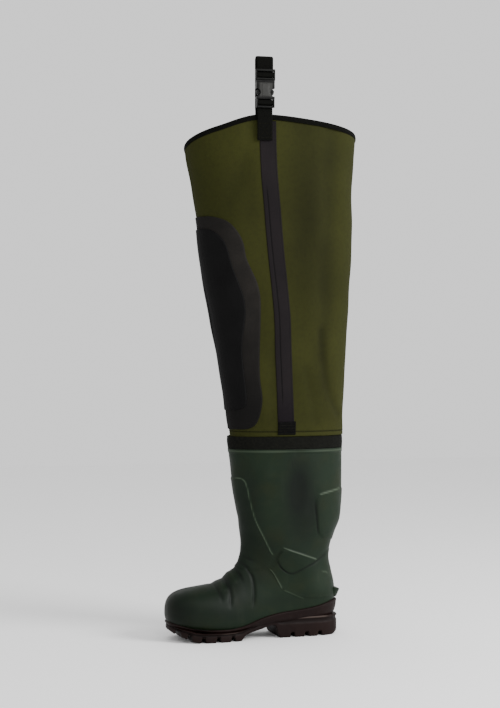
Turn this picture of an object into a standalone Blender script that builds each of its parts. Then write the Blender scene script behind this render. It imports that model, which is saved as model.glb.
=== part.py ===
# Hip wader for the left foot: moulded boot with a soft thigh-length leg, knee pad, side tape and belt strap.
# Metres, up is +Z, the toe points to -X and the outer side of the foot is at -Y.
# The origin is on the ground under the heel, on the second lug from its back.

import math

import bmesh
import bpy
import numpy as np

# Main sizes
foot_length = 0.305
ball_width = 0.110
heel_back = 0.0515
instep_height = 0.141
rim_height = 0.319
boot_wall = 0.0028
leg_wall = 0.0042
leg_depth = 0.290
leg_width = 0.150
collar_height = 0.874
seam_gap = 0.0003

# Sole
sole_back_height = 0.060
lug_depth = 0.0065
groove_low_width = 0.0062
groove_top_width = 0.0030
cup_wall = 0.0028
opening_inset = 0.014
insole_inset = 0.0085
insole_thickness = 0.004
channel_width = 0.008
spur_width = 0.026

# Layers on the leg and the boot
band_height = 0.0215
hem_height = rim_height + band_height
tuck_depth = 0.020
tape_width = 0.028
tape_thickness = 0.0010
tape_lift = 0.0040
patch_along = 0.349
patch_width = 0.030
patch_height = 0.0225
patch_lift = 0.0030
pad_thickness = 0.0015
panel_step = 0.0010
rim_band = 0.0065
binding_thickness = 0.0015
binding_drop = 0.0070
binding_gap = 0.0004

# Straps and buckle
strap_along = 0.4967
strap_turn = math.radians(5.0)
strap_rise = 0.0974
strap_sewn = 0.042
buckle_depth = 0.010
webbing_width = 0.0255
loop_webbing_width = 0.028
webbing_thickness = 0.0016
rail_width = 0.0023
buckle_width = webbing_width + 2 * (seam_gap + rail_width)
ladder_width = loop_webbing_width + 2 * (seam_gap + rail_width)
belt_gap = 0.0100
buckle_bevel = 0.0006

# Points round each section
ring_points = 28
sole_points = 44

# Foot sections from the toe to the ankle. Each lies in the plane through a low or back point and a top or front
# point. along: share of foot length from the back of the sole. up: share of instep height. outer, inner: half
# widths as shares of ball width. wide: where the section is widest, as a share from low to top. The last two
# columns say how square the lower and the upper half are.
foot_sections = [
    # low_along, low_up, top_along, top_up, outer, inner, wide, low_square, top_square
    (0.989, 0.295, 0.989, 0.345, 0.018, 0.022, 0.45, 2.0, 2.0),
    (0.983, 0.245, 0.983, 0.430, 0.125, 0.155, 0.43, 2.4, 2.3),
    (0.969, 0.208, 0.969, 0.495, 0.215, 0.265, 0.42, 2.8, 2.5),
    (0.944, 0.185, 0.944, 0.546, 0.295, 0.355, 0.41, 3.2, 2.5),
    (0.910, 0.163, 0.907, 0.582, 0.355, 0.425, 0.40, 3.6, 2.5),
    (0.865, 0.142, 0.860, 0.607, 0.405, 0.475, 0.38, 3.8, 2.4),
    (0.805, 0.122, 0.790, 0.629, 0.435, 0.503, 0.36, 3.8, 2.3),
    (0.745, 0.106, 0.735, 0.648, 0.445, 0.505, 0.34, 3.8, 2.2),
    (0.685, 0.100, 0.695, 0.674, 0.435, 0.485, 0.33, 4.0, 2.1),
    (0.620, 0.105, 0.662, 0.722, 0.415, 0.450, 0.31, 4.0, 2.0),
    (0.555, 0.118, 0.638, 0.762, 0.395, 0.410, 0.30, 4.0, 1.95),
    (0.490, 0.138, 0.615, 0.800, 0.380, 0.380, 0.29, 4.0, 1.9),
    (0.420, 0.160, 0.596, 0.845, 0.365, 0.360, 0.28, 4.0, 1.9),
    (0.345, 0.178, 0.581, 0.890, 0.355, 0.345, 0.28, 4.0, 1.9),
    (0.265, 0.190, 0.570, 0.935, 0.350, 0.340, 0.28, 3.8, 1.9),
    (0.180, 0.196, 0.5625, 0.980, 0.350, 0.342, 0.29, 3.4, 1.92),
    (0.100, 0.200, 0.558, 1.020, 0.352, 0.348, 0.31, 2.9, 1.95),
    (0.045, 0.225, 0.5565, 1.060, 0.356, 0.354, 0.34, 2.4, 2.0),
    (0.018, 0.320, 0.555, 1.100, 0.362, 0.360, 0.37, 2.2, 2.0),
    (0.0132, 0.460, 0.555, 1.140, 0.370, 0.368, 0.40, 2.15, 2.0),
    (0.020, 0.620, 0.556, 1.180, 0.380, 0.378, 0.43, 2.1, 2.0),
    (0.036, 0.770, 0.558, 1.220, 0.388, 0.386, 0.46, 2.1, 2.0),
    (0.050, 0.930, 0.5605, 1.270, 0.395, 0.395, 0.48, 2.1, 2.05),
    (0.038, 1.080, 0.564, 1.340, 0.405, 0.405, 0.50, 2.1, 2.1),
    (0.014, 1.240, 0.568, 1.430, 0.420, 0.420, 0.50, 2.1, 2.1),
]

# Boot shaft, from the ankle to above the rim. along: share of foot length. up: share of the way from the last foot
# section to the rim. half_width: share of ball width.
shaft_sections = [
    # back_along, back_up, front_along, front_up, half_width
    (-0.014, 0.144, 0.575, 0.076, 0.440),
    (-0.024, 0.314, 0.586, 0.217, 0.455),
    (-0.029, 0.484, 0.598, 0.383, 0.470),
    (-0.030, 0.657, 0.609, 0.579, 0.485),
    (-0.030, 0.823, 0.6175, 0.783, 0.495),
    (-0.030, 0.929, 0.624, 0.913, 0.500),
    (-0.030, 1.000, 0.6275, 1.000, 0.500),
    (-0.030, 1.100, 0.632, 1.122, 0.500),
]
shaft_square = 2.1

# Leg from inside the boot rim to above the collar. up: share of the way from hem to collar. centre: share of foot
# length from the back of the sole. depth and width: shares of the leg's own.
leg_sections = [
    # up, centre, depth, width
    (0.004, 0.291, 0.690, 0.740),
    (0.037, 0.294, 0.698, 0.760),
    (0.102, 0.301, 0.716, 0.790),
    (0.181, 0.308, 0.748, 0.820),
    (0.263, 0.318, 0.778, 0.850),
    (0.353, 0.327, 0.821, 0.880),
    (0.451, 0.336, 0.868, 0.910),
    (0.558, 0.348, 0.914, 0.940),
    (0.672, 0.360, 0.944, 0.965),
    (0.787, 0.374, 0.980, 0.985),
    (0.885, 0.383, 1.025, 1.000),
    (0.951, 0.386, 1.040, 1.000),
    (1.098, 0.391, 1.045, 1.000),
]
leg_square = 2.05

# Height of the collar round the leg, as a share of its height at the strap.
collar_edge = [
    # degrees from the front towards the outer side, height
    (0, 0.950),
    (45, 0.978),
    (78, 1.000),
    (110, 0.994),
    (150, 0.983),
    (180, 0.972),
    (225, 0.935),
    (270, 0.915),
    (315, 0.930),
]

# Plan of the sole. along: share of foot length. outer, inner: half widths as shares of ball width.
sole_plan = [
    # along, outer, inner
    (0.000, 0.000, 0.000),
    (0.012, 0.140, 0.140),
    (0.045, 0.240, 0.240),
    (0.100, 0.300, 0.300),
    (0.180, 0.325, 0.325),
    (0.260, 0.323, 0.328),
    (0.350, 0.318, 0.328),
    (0.450, 0.335, 0.355),
    (0.550, 0.385, 0.412),
    (0.640, 0.430, 0.468),
    (0.720, 0.452, 0.502),
    (0.790, 0.446, 0.502),
    (0.850, 0.420, 0.480),
    (0.895, 0.370, 0.430),
    (0.932, 0.296, 0.356),
    (0.958, 0.208, 0.262),
    (0.975, 0.112, 0.155),
    (0.983, 0.000, 0.035),
]

# Side of the sole. along: share of foot length. ground: underside. ledge: top of the tread block. edge: top of the
# cup wall. Heights are shares of the sole's height at the back of the heel.
sole_side = [
    # along, ground, ledge, edge
    (0.000, 0.140, 0.560, 1.000),
    (0.020, 0.050, 0.565, 1.000),
    (0.055, 0.000, 0.570, 0.985),
    (0.090, 0.000, 0.570, 0.940),
    (0.160, 0.000, 0.570, 0.860),
    (0.240, 0.000, 0.570, 0.800),
    (0.360, 0.000, 0.570, 0.735),
    (0.396, 0.370, 0.560, 0.705),
    (0.480, 0.280, 0.450, 0.600),
    (0.570, 0.150, 0.310, 0.430),
    (0.600, 0.000, 0.275, 0.385),
    (0.670, 0.000, 0.250, 0.335),
    (0.790, 0.000, 0.255, 0.345),
    (0.840, 0.020, 0.275, 0.365),
    (0.900, 0.110, 0.350, 0.440),
    (0.955, 0.230, 0.430, 0.520),
    (0.983, 0.340, 0.500, 0.560),
]
groove_shares = (0.645, 0.730, 0.812, 0.885, 0.941)
heel_groove_shares = (0.130, 0.208, 0.290)
channel_shares = (0.655, 0.900)

# Ledge at the back of the heel, in the side view. along: share of foot length. up: share of the sole's height there.
spur_outline = [
    (0.062, 1.042), (0.016, 1.042), (0.010, 1.167), (-0.001, 1.300),
    (0.001, 1.375), (0.013, 1.408), (0.062, 1.433),
]

# Raised panels of the boot, as outlines in the side view. along: share of foot length from the back of the sole.
# up: share of rim height. An outline runs past the boot where the panel wraps round it.
shin_outline = [
    (0.75, 0.842), (0.604, 0.842), (0.584, 0.848), (0.567, 0.838), (0.556, 0.818), (0.529, 0.706),
    (0.501, 0.616), (0.464, 0.543), (0.419, 0.457), (0.402, 0.430), (0.436, 0.366), (0.560, 0.358),
    (0.620, 0.390), (0.75, 0.390),
]
counter_outline = [
    (0.418, 0.358), (0.399, 0.342), (0.355, 0.256), (0.312, 0.238), (0.259, 0.215), (0.180, 0.205),
    (-0.10, 0.205), (-0.10, 0.470), (0.036, 0.458), (0.075, 0.447), (0.158, 0.410), (0.240, 0.396),
    (0.330, 0.402), (0.385, 0.400),
]
shield_outline = [
    (0.350, 0.478), (0.158, 0.411), (0.165, 0.396), (0.239, 0.366), (0.300, 0.333), (0.338, 0.348),
    (0.368, 0.378), (0.386, 0.422), (0.375, 0.441),
]
calf_outline = [
    (0.146, 0.757), (0.017, 0.780), (-0.12, 0.788), (-0.12, 0.500), (0.100, 0.508), (0.147, 0.551),
    (0.159, 0.624), (0.169, 0.692), (0.163, 0.735),
]

# Knee pads and side tape, in the side view. along: share of foot length from the back of the sole. up: share of
# the way from hem to collar.
outer_pad_edge = [
    (0.990, 0.692), (0.790, 0.692), (0.734, 0.685), (0.679, 0.672), (0.631, 0.641), (0.599, 0.604),
    (0.588, 0.559), (0.558, 0.522), (0.524, 0.481), (0.507, 0.440), (0.503, 0.387), (0.506, 0.253),
    (0.500, 0.176), (0.485, 0.132), (0.484, 0.101), (0.500, 0.051), (0.530, 0.027), (0.588, 0.020),
    (0.990, 0.020),
]
inner_pad_edge = [
    (0.990, 0.656), (0.790, 0.653), (0.743, 0.643), (0.685, 0.605), (0.657, 0.536), (0.612, 0.472),
    (0.585, 0.425), (0.579, 0.371), (0.597, 0.291), (0.582, 0.215), (0.572, 0.169), (0.556, 0.099),
    (0.593, 0.084), (0.675, 0.079), (0.990, 0.079),
]
tape_centre = [
    # up, along
    (-0.008, 0.345), (0.050, 0.355), (0.148, 0.364), (0.253, 0.375), (0.366, 0.385), (0.553, 0.421),
    (0.640, 0.437), (0.710, 0.448), (0.823, 0.468), (0.918, 0.476), (1.000, 0.477),
]

# Webbing and buckle in the strap's frame. out: from the leg, share of buckle depth. up: from the collar, share of
# the strap's rise.
buckle_strap_turn = [
    # out, up: round the lower bar and down behind
    (0.32, 0.144), (0.42, 0.160), (0.66, 0.177), (0.77, 0.191), (0.77, 0.224), (0.68, 0.242),
    (0.40, 0.246), (0.21, 0.242), (0.13, 0.228), (0.13, 0.062),
]
loop_strap_turn = [
    # out, up: round the ladder's lower bar and up behind
    (0.30, 0.733), (0.42, 0.719), (0.64, 0.706), (0.71, 0.692), (0.71, 0.659), (0.64, 0.643),
    (0.40, 0.634), (0.18, 0.639), (0.10, 0.657), (0.10, 0.821),
]
prong_outline = [
    # across as a share of half the webbing's width, up
    (0.706, 0.436), (0.902, 0.431), (1.082, 0.419), (1.176, 0.395), (1.114, 0.354), (0.878, 0.316),
    (0.769, 0.320), (0.769, 0.359),
]


def smooth_at(rows, position):
    """Row values at a position along a table, on a smooth curve through the rows."""
    rows = np.asarray(rows, float)
    last = len(rows) - 1
    index = int(min(max(math.floor(position), 0), last - 1))
    t = position - index
    before = rows[max(index - 1, 0)]
    first = rows[index]
    second = rows[index + 1]
    after = rows[min(index + 2, last)]
    start = (second - before) / 2 if index > 0 else second - first
    end = (after - first) / 2 if index + 2 <= last else second - first
    t2 = t * t
    t3 = t2 * t
    value = (2 * t3 - 3 * t2 + 1) * first + (3 * t2 - 2 * t3) * second
    return value + (t3 - 2 * t2 + t) * start + (t3 - t2) * end


def joined_slope(one, other):
    """Slope at a row from the slopes on its two sides, level where they differ in sign."""
    total = one + other + 1e-12
    return np.where(one * other > 0, 2 * one * other / total, 0)


def smooth_by(rows, value):
    """Row values where the first column has this value."""
    keys = [row[0] for row in rows]
    if value <= keys[0]:
        return np.asarray(rows[0][1:], float)
    if value >= keys[-1]:
        return np.asarray(rows[-1][1:], float)
    index = max(i for i, key in enumerate(keys) if key <= value)
    index = min(index, len(keys) - 2)
    share = (value - keys[index]) / (keys[index + 1] - keys[index])
    first = np.asarray(rows[index][1:], float)
    second = np.asarray(rows[index + 1][1:], float)
    before = np.asarray(rows[max(index - 1, 0)][1:], float)
    after = np.asarray(rows[min(index + 2, len(rows) - 1)][1:], float)
    gap = keys[index + 1] - keys[index]
    gap_before = keys[index] - keys[max(index - 1, 0)] or gap
    gap_after = keys[min(index + 2, len(rows) - 1)] - keys[index + 1] or gap
    middle = (second - first) / gap
    slope_before = (first - before) / gap_before if index > 0 else middle
    slope_after = (after - second) / gap_after if index + 2 < len(rows) else middle
    start = joined_slope(slope_before, middle)
    end = joined_slope(slope_after, middle)
    t = share
    t2 = t * t
    t3 = t2 * t
    value_part = (2 * t3 - 3 * t2 + 1) * first + (3 * t2 - 2 * t3) * second
    return value_part + gap * ((t3 - 2 * t2 + t) * start + (t3 - t2) * end)


def boot_rows():
    """Foot and shaft sections in one table, in metres."""
    rows = []
    for low_along, low_up, top_along, top_up, outer, inner, wide, low_square, top_square in foot_sections:
        low_x = heel_back - low_along * foot_length
        top_x = heel_back - top_along * foot_length
        low_z = low_up * instep_height
        top_z = top_up * instep_height
        widths = (outer * ball_width, inner * ball_width)
        rows.append((low_x, low_z, top_x, top_z, *widths, wide, low_square, top_square))
    _, ankle_back, _, ankle_front = rows[-1][:4]
    for back_along, back_up, front_along, front_up, half_width in shaft_sections:
        back_x = heel_back - back_along * foot_length
        front_x = heel_back - front_along * foot_length
        widths = (half_width * ball_width, half_width * ball_width)
        back_z = ankle_back + back_up * (rim_height - ankle_back)
        front_z = ankle_front + front_up * (rim_height - ankle_front)
        rows.append((back_x, back_z, front_x, front_z, *widths, 0.5, shaft_square, shaft_square))
    return np.array(rows)


boot_table = boot_rows()
rim_row = len(boot_table) - 2


def boot_point(position, turn):
    """Point of the boot's outside. turn is 0 at the low or back point and goes round by the outer side."""
    low_x, low_z, top_x, top_z, outer, inner, wide, low_square, top_square = smooth_at(boot_table, position)
    c = math.cos(turn)
    s = math.sin(turn)
    square = low_square if c > 0 else top_square
    reach = abs(c) ** (2 / square)
    share = wide * (1 - reach) if c > 0 else wide + (1 - wide) * reach
    width = outer if s > 0 else inner
    y = -math.copysign(width * abs(s) ** (2 / square), s)
    return np.array([low_x + (top_x - low_x) * share, y, low_z + (top_z - low_z) * share])


def outward(form, position, turn, last):
    """Outward direction of a form at a point, from its neighbours."""
    d = 0.02
    along = form(min(position + d, last), turn) - form(max(position - d, 0), turn)
    across = form(position, turn + d) - form(position, turn - d)
    normal = np.cross(along, across)
    return normal / (np.linalg.norm(normal) + 1e-12)


def boot_grid(offset, last):
    rows = []
    for row in range(last + 1):
        ring = []
        for k in range(ring_points):
            turn = 2 * math.pi * k / ring_points
            ring.append(boot_point(row, turn) + offset * outward(boot_point, row, turn, len(boot_table) - 1))
        rows.append(ring)
    return np.array(rows)


def leg_height(up):
    """Height at a share of the way from the leg's hem to its collar."""
    return hem_height + up * (collar_height - hem_height)


def leg_values(z):
    share = (z - hem_height) / (collar_height - hem_height)
    centre, depth, width = smooth_by(leg_sections, share)
    return heel_back - centre * foot_length, depth * leg_depth / 2, width * leg_width / 2


def leg_point(z, turn, offset=0.0):
    """Point of the leg's outside. turn is 0 at the front and goes round by the outer side."""
    centre, a, b = leg_values(z)
    c = math.cos(turn)
    s = math.sin(turn)
    x = math.copysign(abs(c) ** (2 / leg_square), c)
    y = math.copysign(abs(s) ** (2 / leg_square), s)
    nx = math.copysign(abs(c) ** (2 - 2 / leg_square), c) / a
    ny = math.copysign(abs(s) ** (2 - 2 / leg_square), s) / b
    size = math.hypot(nx, ny)
    return np.array([centre - a * x - offset * nx / size, -b * y - offset * ny / size, z])


def collar_share(turn):
    degrees = math.degrees(turn) % 360
    first = collar_edge[-1]
    rows = [(first[0] - 360, first[1])] + collar_edge + [(360 + row[0], row[1]) for row in collar_edge[:2]]
    return float(smooth_by(rows, degrees)[0])


# Mesh helpers


def collection_named(name, hidden=False):
    collection = bpy.data.collections.new(name)
    bpy.context.scene.collection.children.link(collection)
    collection.hide_render = hidden
    return collection


def face_outwards(work):
    bmesh.ops.recalc_face_normals(work, faces=work.faces)
    if work.calc_volume(signed=True) < 0:
        bmesh.ops.reverse_faces(work, faces=work.faces)


def add_work(name, work, hidden):
    """Object from a bmesh, in the part's collection or among the cutters."""
    face_outwards(work)
    mesh = bpy.data.meshes.new(name)
    work.to_mesh(mesh)
    work.free()
    thing = bpy.data.objects.new(name, mesh)
    (cutters if hidden else wader).objects.link(thing)
    if hidden:
        thing.hide_render = True
        thing.display_type = "WIRE"
    return thing


def add_mesh(name, points, faces, hidden=False):
    mesh = bpy.data.meshes.new(name)
    mesh.from_pydata([tuple(p) for p in points], [], faces)
    mesh.validate()
    work = bmesh.new()
    work.from_mesh(mesh)
    bpy.data.meshes.remove(mesh)
    return add_work(name, work, hidden)


def grid_faces(rows, around):
    faces = []
    for i in range(rows - 1):
        for k in range(around):
            n = (k + 1) % around
            a = i * around + k
            b = i * around + n
            faces.append((a, b, b + around, a + around))
    return faces


def closed_grid(name, grid, hidden=False):
    """Solid of rings, with a fan of faces at each end."""
    rows, around = grid.shape[:2]
    points = list(grid.reshape(-1, 3))
    faces = grid_faces(rows, around)
    for row, end in ((0, grid[0]), (rows - 1, grid[-1])):
        points.append(end.mean(axis=0))
        tip = len(points) - 1
        for k in range(around):
            faces.append((row * around + k, row * around + (k + 1) % around, tip))
    return add_mesh(name, points, faces, hidden)


def combine(target, other, how):
    """Cuts, joins or crosses two solids and keeps the result as the target's mesh."""
    modifier = target.modifiers.new(how.title(), "BOOLEAN")
    modifier.operation = how
    modifier.solver = "EXACT"
    modifier.object = other
    bpy.context.view_layer.update()
    graph = bpy.context.evaluated_depsgraph_get()
    mesh = bpy.data.meshes.new_from_object(target.evaluated_get(graph))
    target.modifiers.clear()
    target.data = mesh
    work = bmesh.new()
    work.from_mesh(mesh)
    bmesh.ops.remove_doubles(work, verts=work.verts, dist=0.00001)
    work.to_mesh(mesh)
    work.free()
    return target


def prism(name, outline, y_from, y_to, hidden=True):
    """Solid with this outline in the side view, from one y to another."""
    work = bmesh.new()
    face = work.faces.new([work.verts.new((x, y_from, z)) for x, z in outline])
    swept = bmesh.ops.extrude_face_region(work, geom=[face])
    moved = [item for item in swept["geom"] if isinstance(item, bmesh.types.BMVert)]
    bmesh.ops.translate(work, verts=moved, vec=(0.0, y_to - y_from, 0.0))
    return add_work(name, work, hidden)


def box(name, low, high, hidden=True):
    work = bmesh.new()
    bmesh.ops.create_cube(work, size=1.0)
    for vertex in work.verts:
        vertex.co = [a + (share + 0.5) * (b - a) for a, b, share in zip(low, high, vertex.co)]
    return add_work(name, work, hidden)


def material(thing, colour, roughness, metallic=0.0):
    made = bpy.data.materials.new(thing.name)
    made.use_nodes = True
    shader = made.node_tree.nodes["Principled BSDF"]
    shader.inputs["Base Color"].default_value = (*colour, 1.0)
    shader.inputs["Roughness"].default_value = roughness
    shader.inputs["Metallic"].default_value = metallic
    thing.data.materials.clear()
    thing.data.materials.append(made)
    for face in thing.data.polygons:
        face.material_index = 0
        face.use_smooth = True


# Boot


def boot_solid(name, offset, last, hidden=True):
    return closed_grid(name, boot_grid(offset, last), hidden)


def boot_outline(shares):
    return [(heel_back - along * foot_length, up * rim_height) for along, up in shares]


def raise_panel(upper, name, outline, step):
    """Adds a step inside an outline, cut from a larger form of the boot."""
    raised = boot_solid(name, step, rim_row)
    window = prism(name + "_outline", boot_outline(outline), -ball_width, ball_width)
    combine(raised, window, "INTERSECT")
    combine(raised, below_sole_edge(name + "_foot", 2 * seam_gap), "DIFFERENCE")
    combine(upper, raised, "UNION")


def make_spur():
    """Ledge at the back of the heel, pushed on with the other foot to take the boot off."""
    outline = [(heel_back - along * foot_length, up * sole_back_height) for along, up in spur_outline]
    return prism("spur_form", outline, -spur_width / 2, spur_width / 2)


def make_upper():
    upper = boot_solid("boot_upper", 0.0, rim_row, hidden=False)
    raise_panel(upper, "shin_panel", shin_outline, panel_step * 1.2)
    raise_panel(upper, "heel_counter", counter_outline, panel_step)
    raise_panel(upper, "ankle_shield", shield_outline, panel_step * 2)
    raise_panel(upper, "calf_panel", calf_outline, panel_step * 1.2)
    low = rim_height - rim_band
    high = rim_height - 0.0001
    band = box("rim_band", (-foot_length, -ball_width, low), (foot_length, ball_width, high))
    rim = boot_solid("rim_form", panel_step * 0.8, rim_row)
    combine(rim, band, "INTERSECT")
    combine(upper, rim, "UNION")
    combine(upper, make_spur(), "UNION")
    inside = boot_solid("boot_inside", -boot_wall, rim_row + 1)
    combine(upper, inside, "DIFFERENCE")
    opening = make_slab("upper_opening", opening_inset, -sole_back_height / 3, boot_wall * 1.7)
    combine(upper, opening, "DIFFERENCE")
    return upper


# Sole


def sole_ring(offset):
    """Plan points of the sole's edge, moved outwards, with their share along the foot."""
    half = sole_points // 2
    length = sole_plan[-1][0]
    shares = [length * (1 - math.cos(math.pi * k / half)) / 2 for k in range(half + 1)]
    breast_back, breast_front = sole_side[6][0], sole_side[7][0]
    nearest_back = min(range(half + 1), key=lambda k: abs(shares[k] - breast_back))
    shares[nearest_back] = breast_back
    shares[nearest_back + 1] = breast_front
    points = []
    for k in range(sole_points):
        outer_side = k <= half
        share = shares[k] if outer_side else shares[sole_points - k]
        outer, inner = smooth_by(sole_plan, share)
        y = -outer * ball_width if outer_side else inner * ball_width
        points.append((heel_back - share * foot_length, y, share))
    moved = []
    for k, (x, y, share) in enumerate(points):
        before = points[k - 1]
        after = points[(k + 1) % sole_points]
        dx = after[0] - before[0]
        dy = after[1] - before[1]
        size = math.hypot(dx, dy)
        moved.append((x - offset * dy / size, y + offset * dx / size, share))
    return moved


def strip_cap(base):
    """Faces across a ring between its outer and inner side."""
    n = sole_points
    faces = [(base, base + 1, base + n - 1)]
    for k in range(1, n // 2 - 1):
        faces.append((base + k, base + k + 1, base + n - k - 1, base + n - k))
    faces.append((base + n // 2 - 1, base + n // 2, base + n // 2 + 1))
    return faces


def plan_solid(name, levels, hidden=True):
    """Solid from rings of the sole's plan. levels: (offset outwards, height function of the share along)."""
    points = []
    for offset, height in levels:
        for x, y, share in sole_ring(offset):
            points.append((x, y, height(share)))
    faces = grid_faces(len(levels), sole_points)
    faces += strip_cap(0)
    faces += strip_cap((len(levels) - 1) * sole_points)
    return add_mesh(name, points, faces, hidden)


def side_height(column, share):
    return float(smooth_by(sole_side, share)[column]) * sole_back_height


def below_sole_edge(name, lift):
    """Everything under the sole's upper edge, raised by this much."""
    back = heel_back + foot_length / 10
    toe = heel_back - foot_length * 1.07
    edge = [(back, side_height(2, 0.0) + lift)]
    for share in (0.0, 0.06, 0.12, 0.18, 0.25, 0.34, 0.42, 0.5, 0.57, 0.65, 0.75, 0.84, 0.92, 0.97, 1.0):
        edge.append((heel_back - share * foot_length, side_height(2, share) + lift))
    edge.append((toe, side_height(2, 1.0) + lift))
    edge.append((toe, -sole_back_height / 6))
    edge.append((back, -sole_back_height / 6))
    return prism(name, edge, -ball_width, ball_width)


def bed_height(share):
    """Height of the boot's underside along the foot."""
    rows = sorted((row[0], row[1] * instep_height) for row in foot_sections[:17])
    return float(smooth_by(rows, share)[0])


def make_slab(name, inset, low, high, hidden=True):
    """Solid following the boot's underside, from low to high above it, inside the sole's plan."""
    return plan_solid(name, [
        (-inset, lambda share: bed_height(share) + low),
        (-inset, lambda share: bed_height(share) + high),
    ], hidden)


def make_outsole():
    def level(share_up):
        def height(share):
            ground = side_height(0, share)
            return ground + share_up * (side_height(1, share) - ground)
        return height

    sole = plan_solid("outsole", [
        (-0.0015, level(0.0)),
        (0.0, level(0.10)),
        (0.0, level(0.70)),
        (-0.0014, level(0.74)),
        (-0.0014, level(0.86)),
        (0.0, level(0.90)),
        (-0.0004, level(1.0)),
    ], hidden=False)
    cup = boot_solid("cup_form", seam_gap + cup_wall, len(foot_sections) - 1)
    combine(cup, below_sole_edge("cup_band", 0.0), "INTERSECT")
    combine(sole, cup, "UNION")
    hollow = boot_solid("sole_hollow", seam_gap * 1.5, len(foot_sections) + 2)
    combine(sole, hollow, "DIFFERENCE")
    cut_lugs(sole)
    return sole


def cut_lugs(sole):
    """Grooves between the lugs, wider at the ground, cut across the tread."""
    for index, share in enumerate(groove_shares + heel_groove_shares):
        x = heel_back - share * foot_length
        ground = side_height(0, share)
        top = ground + lug_depth
        low = groove_low_width / 2
        high = groove_top_width / 2
        outline = [
            (x - 2 * low, ground - 2 * lug_depth), (x + 2 * low, ground - 2 * lug_depth), (x + low, ground),
            (x + high, top), (x - high, top), (x - low, ground),
        ]
        tool = prism(f"groove_{index}", outline, -ball_width, ball_width)
        combine(sole, tool, "DIFFERENCE")
    near, far = channel_shares
    low = (heel_back - far * foot_length, -channel_width / 2, -2 * lug_depth)
    high = (heel_back - near * foot_length, channel_width / 2, lug_depth * 0.8)
    combine(sole, box("fore_channel", low, high), "DIFFERENCE")


def make_insole():
    low = boot_wall + seam_gap
    slab = make_slab("insole", insole_inset, low, low + insole_thickness, hidden=False)
    inside = boot_solid("insole_form", -boot_wall - 2.5 * seam_gap, rim_row)
    combine(slab, inside, "INTERSECT")
    return slab


# Leg


def leg_turns():
    return [2 * math.pi * k / ring_points for k in range(ring_points)]


def leg_levels(top):
    """Heights of the leg's rings by turn, with the offset of each. None: follows the boot."""
    fixed = [
        (rim_height - tuck_depth, None),
        (rim_height - tuck_depth / 2, None),
        (rim_height + 0.001, None),
        (hem_height, None),
        (hem_height + 0.0015, 0.0),
    ]
    levels = [(lambda turn, z=z: z, offset) for z, offset in fixed]
    for share in (0.066, 0.165, 0.279, 0.394, 0.509, 0.640, 0.771, 0.885):
        def height(turn, share=share):
            fall = collar_height * (collar_share(turn) - 1) * max(0.0, (share - 0.18) / 0.82)
            return leg_height(share) + fall * share
        levels.append((height, 0.0))
    levels.append((lambda turn: collar_height * collar_share(turn) - 1.07 * binding_drop, 0.0))
    levels.append((lambda turn: collar_height * collar_share(turn) + top, 0.0))
    return levels


def boot_turn_point(z, turn, offset):
    """Point of the boot's shaft at a height near the rim, with the leg's turn."""
    rows = boot_table[-5:]
    back, front, width = (float(np.interp(z, rows[:, 1], rows[:, i])) for i in (0, 2, 4))
    centre = (back + front) / 2
    a = (back - front) / 2
    c = math.cos(turn)
    s = math.sin(turn)
    power = 2 / shaft_square
    nx = math.copysign(abs(c) ** (2 - power), c) / a
    ny = math.copysign(abs(s) ** (2 - power), s) / width
    size = math.hypot(nx, ny)
    x = centre - a * math.copysign(abs(c) ** power, c) - offset * nx / size
    y = -width * math.copysign(abs(s) ** power, s) - offset * ny / size
    return np.array([x, y, z])


def leg_grid(offset, top=0.0, low=0.0, first=0):
    rows = []
    for index, (height, shift) in enumerate(leg_levels(top)):
        if index < first:
            continue
        ring = []
        for turn in leg_turns():
            z = height(turn) - (low if index == first else 0.0)
            if shift is None:
                ring.append(boot_turn_point(z, turn, offset - boot_wall - 2 * seam_gap))
            else:
                ring.append(leg_point(z, turn, shift + offset))
        rows.append(ring)
    return np.array(rows)


def make_leg():
    outside = list(leg_grid(0.0))
    inside = list(leg_grid(-leg_wall))
    return closed_loop("leg", outside + inside[::-1])


def leg_layer(name, outline, lift, thickness, y_to=0.0):
    """Layer on the leg inside a side-view outline, cut between two larger forms of the leg above its hem."""
    layer = closed_grid(name, leg_grid(lift + thickness, top=0.01, first=4))
    window = prism(name + "_outline", outline, -leg_width, y_to)
    combine(layer, window, "INTERSECT")
    inside = closed_grid(name + "_inside", leg_grid(lift, top=0.02, low=0.01, first=4), hidden=True)
    combine(layer, inside, "DIFFERENCE")
    return layer


def pad_outline(edge):
    return [(heel_back - along * foot_length, leg_height(up)) for along, up in edge]


def make_tape():
    edge = min(collar_share(math.radians(degrees)) for degrees in (68, 92))
    top = collar_height * edge - binding_drop - seam_gap
    low = hem_height + tape_lift
    heights = [leg_height(up) for up, _ in tape_centre]
    left = []
    right = []
    for z in [low] + [z for z in heights if low + 0.01 < z < top] + [top]:
        share = (z - hem_height) / (collar_height - hem_height)
        centre = heel_back - float(smooth_by(tape_centre, share)[0]) * foot_length
        left.append((centre - tape_width / 2, z))
        right.append((centre + tape_width / 2, z))
    return leg_layer("side_tape", left + right[::-1], seam_gap, tape_thickness)


def make_patch():
    centre = heel_back - patch_along * foot_length
    half = patch_width / 2
    low = hem_height + patch_lift
    high = low + patch_height
    outline = [(centre - half, low), (centre + half, low), (centre + half, high), (centre - half, high)]
    return leg_layer("tape_end_patch", outline, tape_thickness + 2 * seam_gap, tape_thickness)


def make_band():
    low = rim_height + seam_gap
    high = hem_height - seam_gap
    inner = -boot_wall - seam_gap
    middle = (low + high) / 2
    rings = []
    for z, offset in ((low, inner), (low, 0.0004), (middle, 0.0010), (high, 0.0004), (high, inner)):
        rings.append([boot_turn_point(z, turn, offset) for turn in leg_turns()])
    return closed_loop("joint_band", rings)


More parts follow.
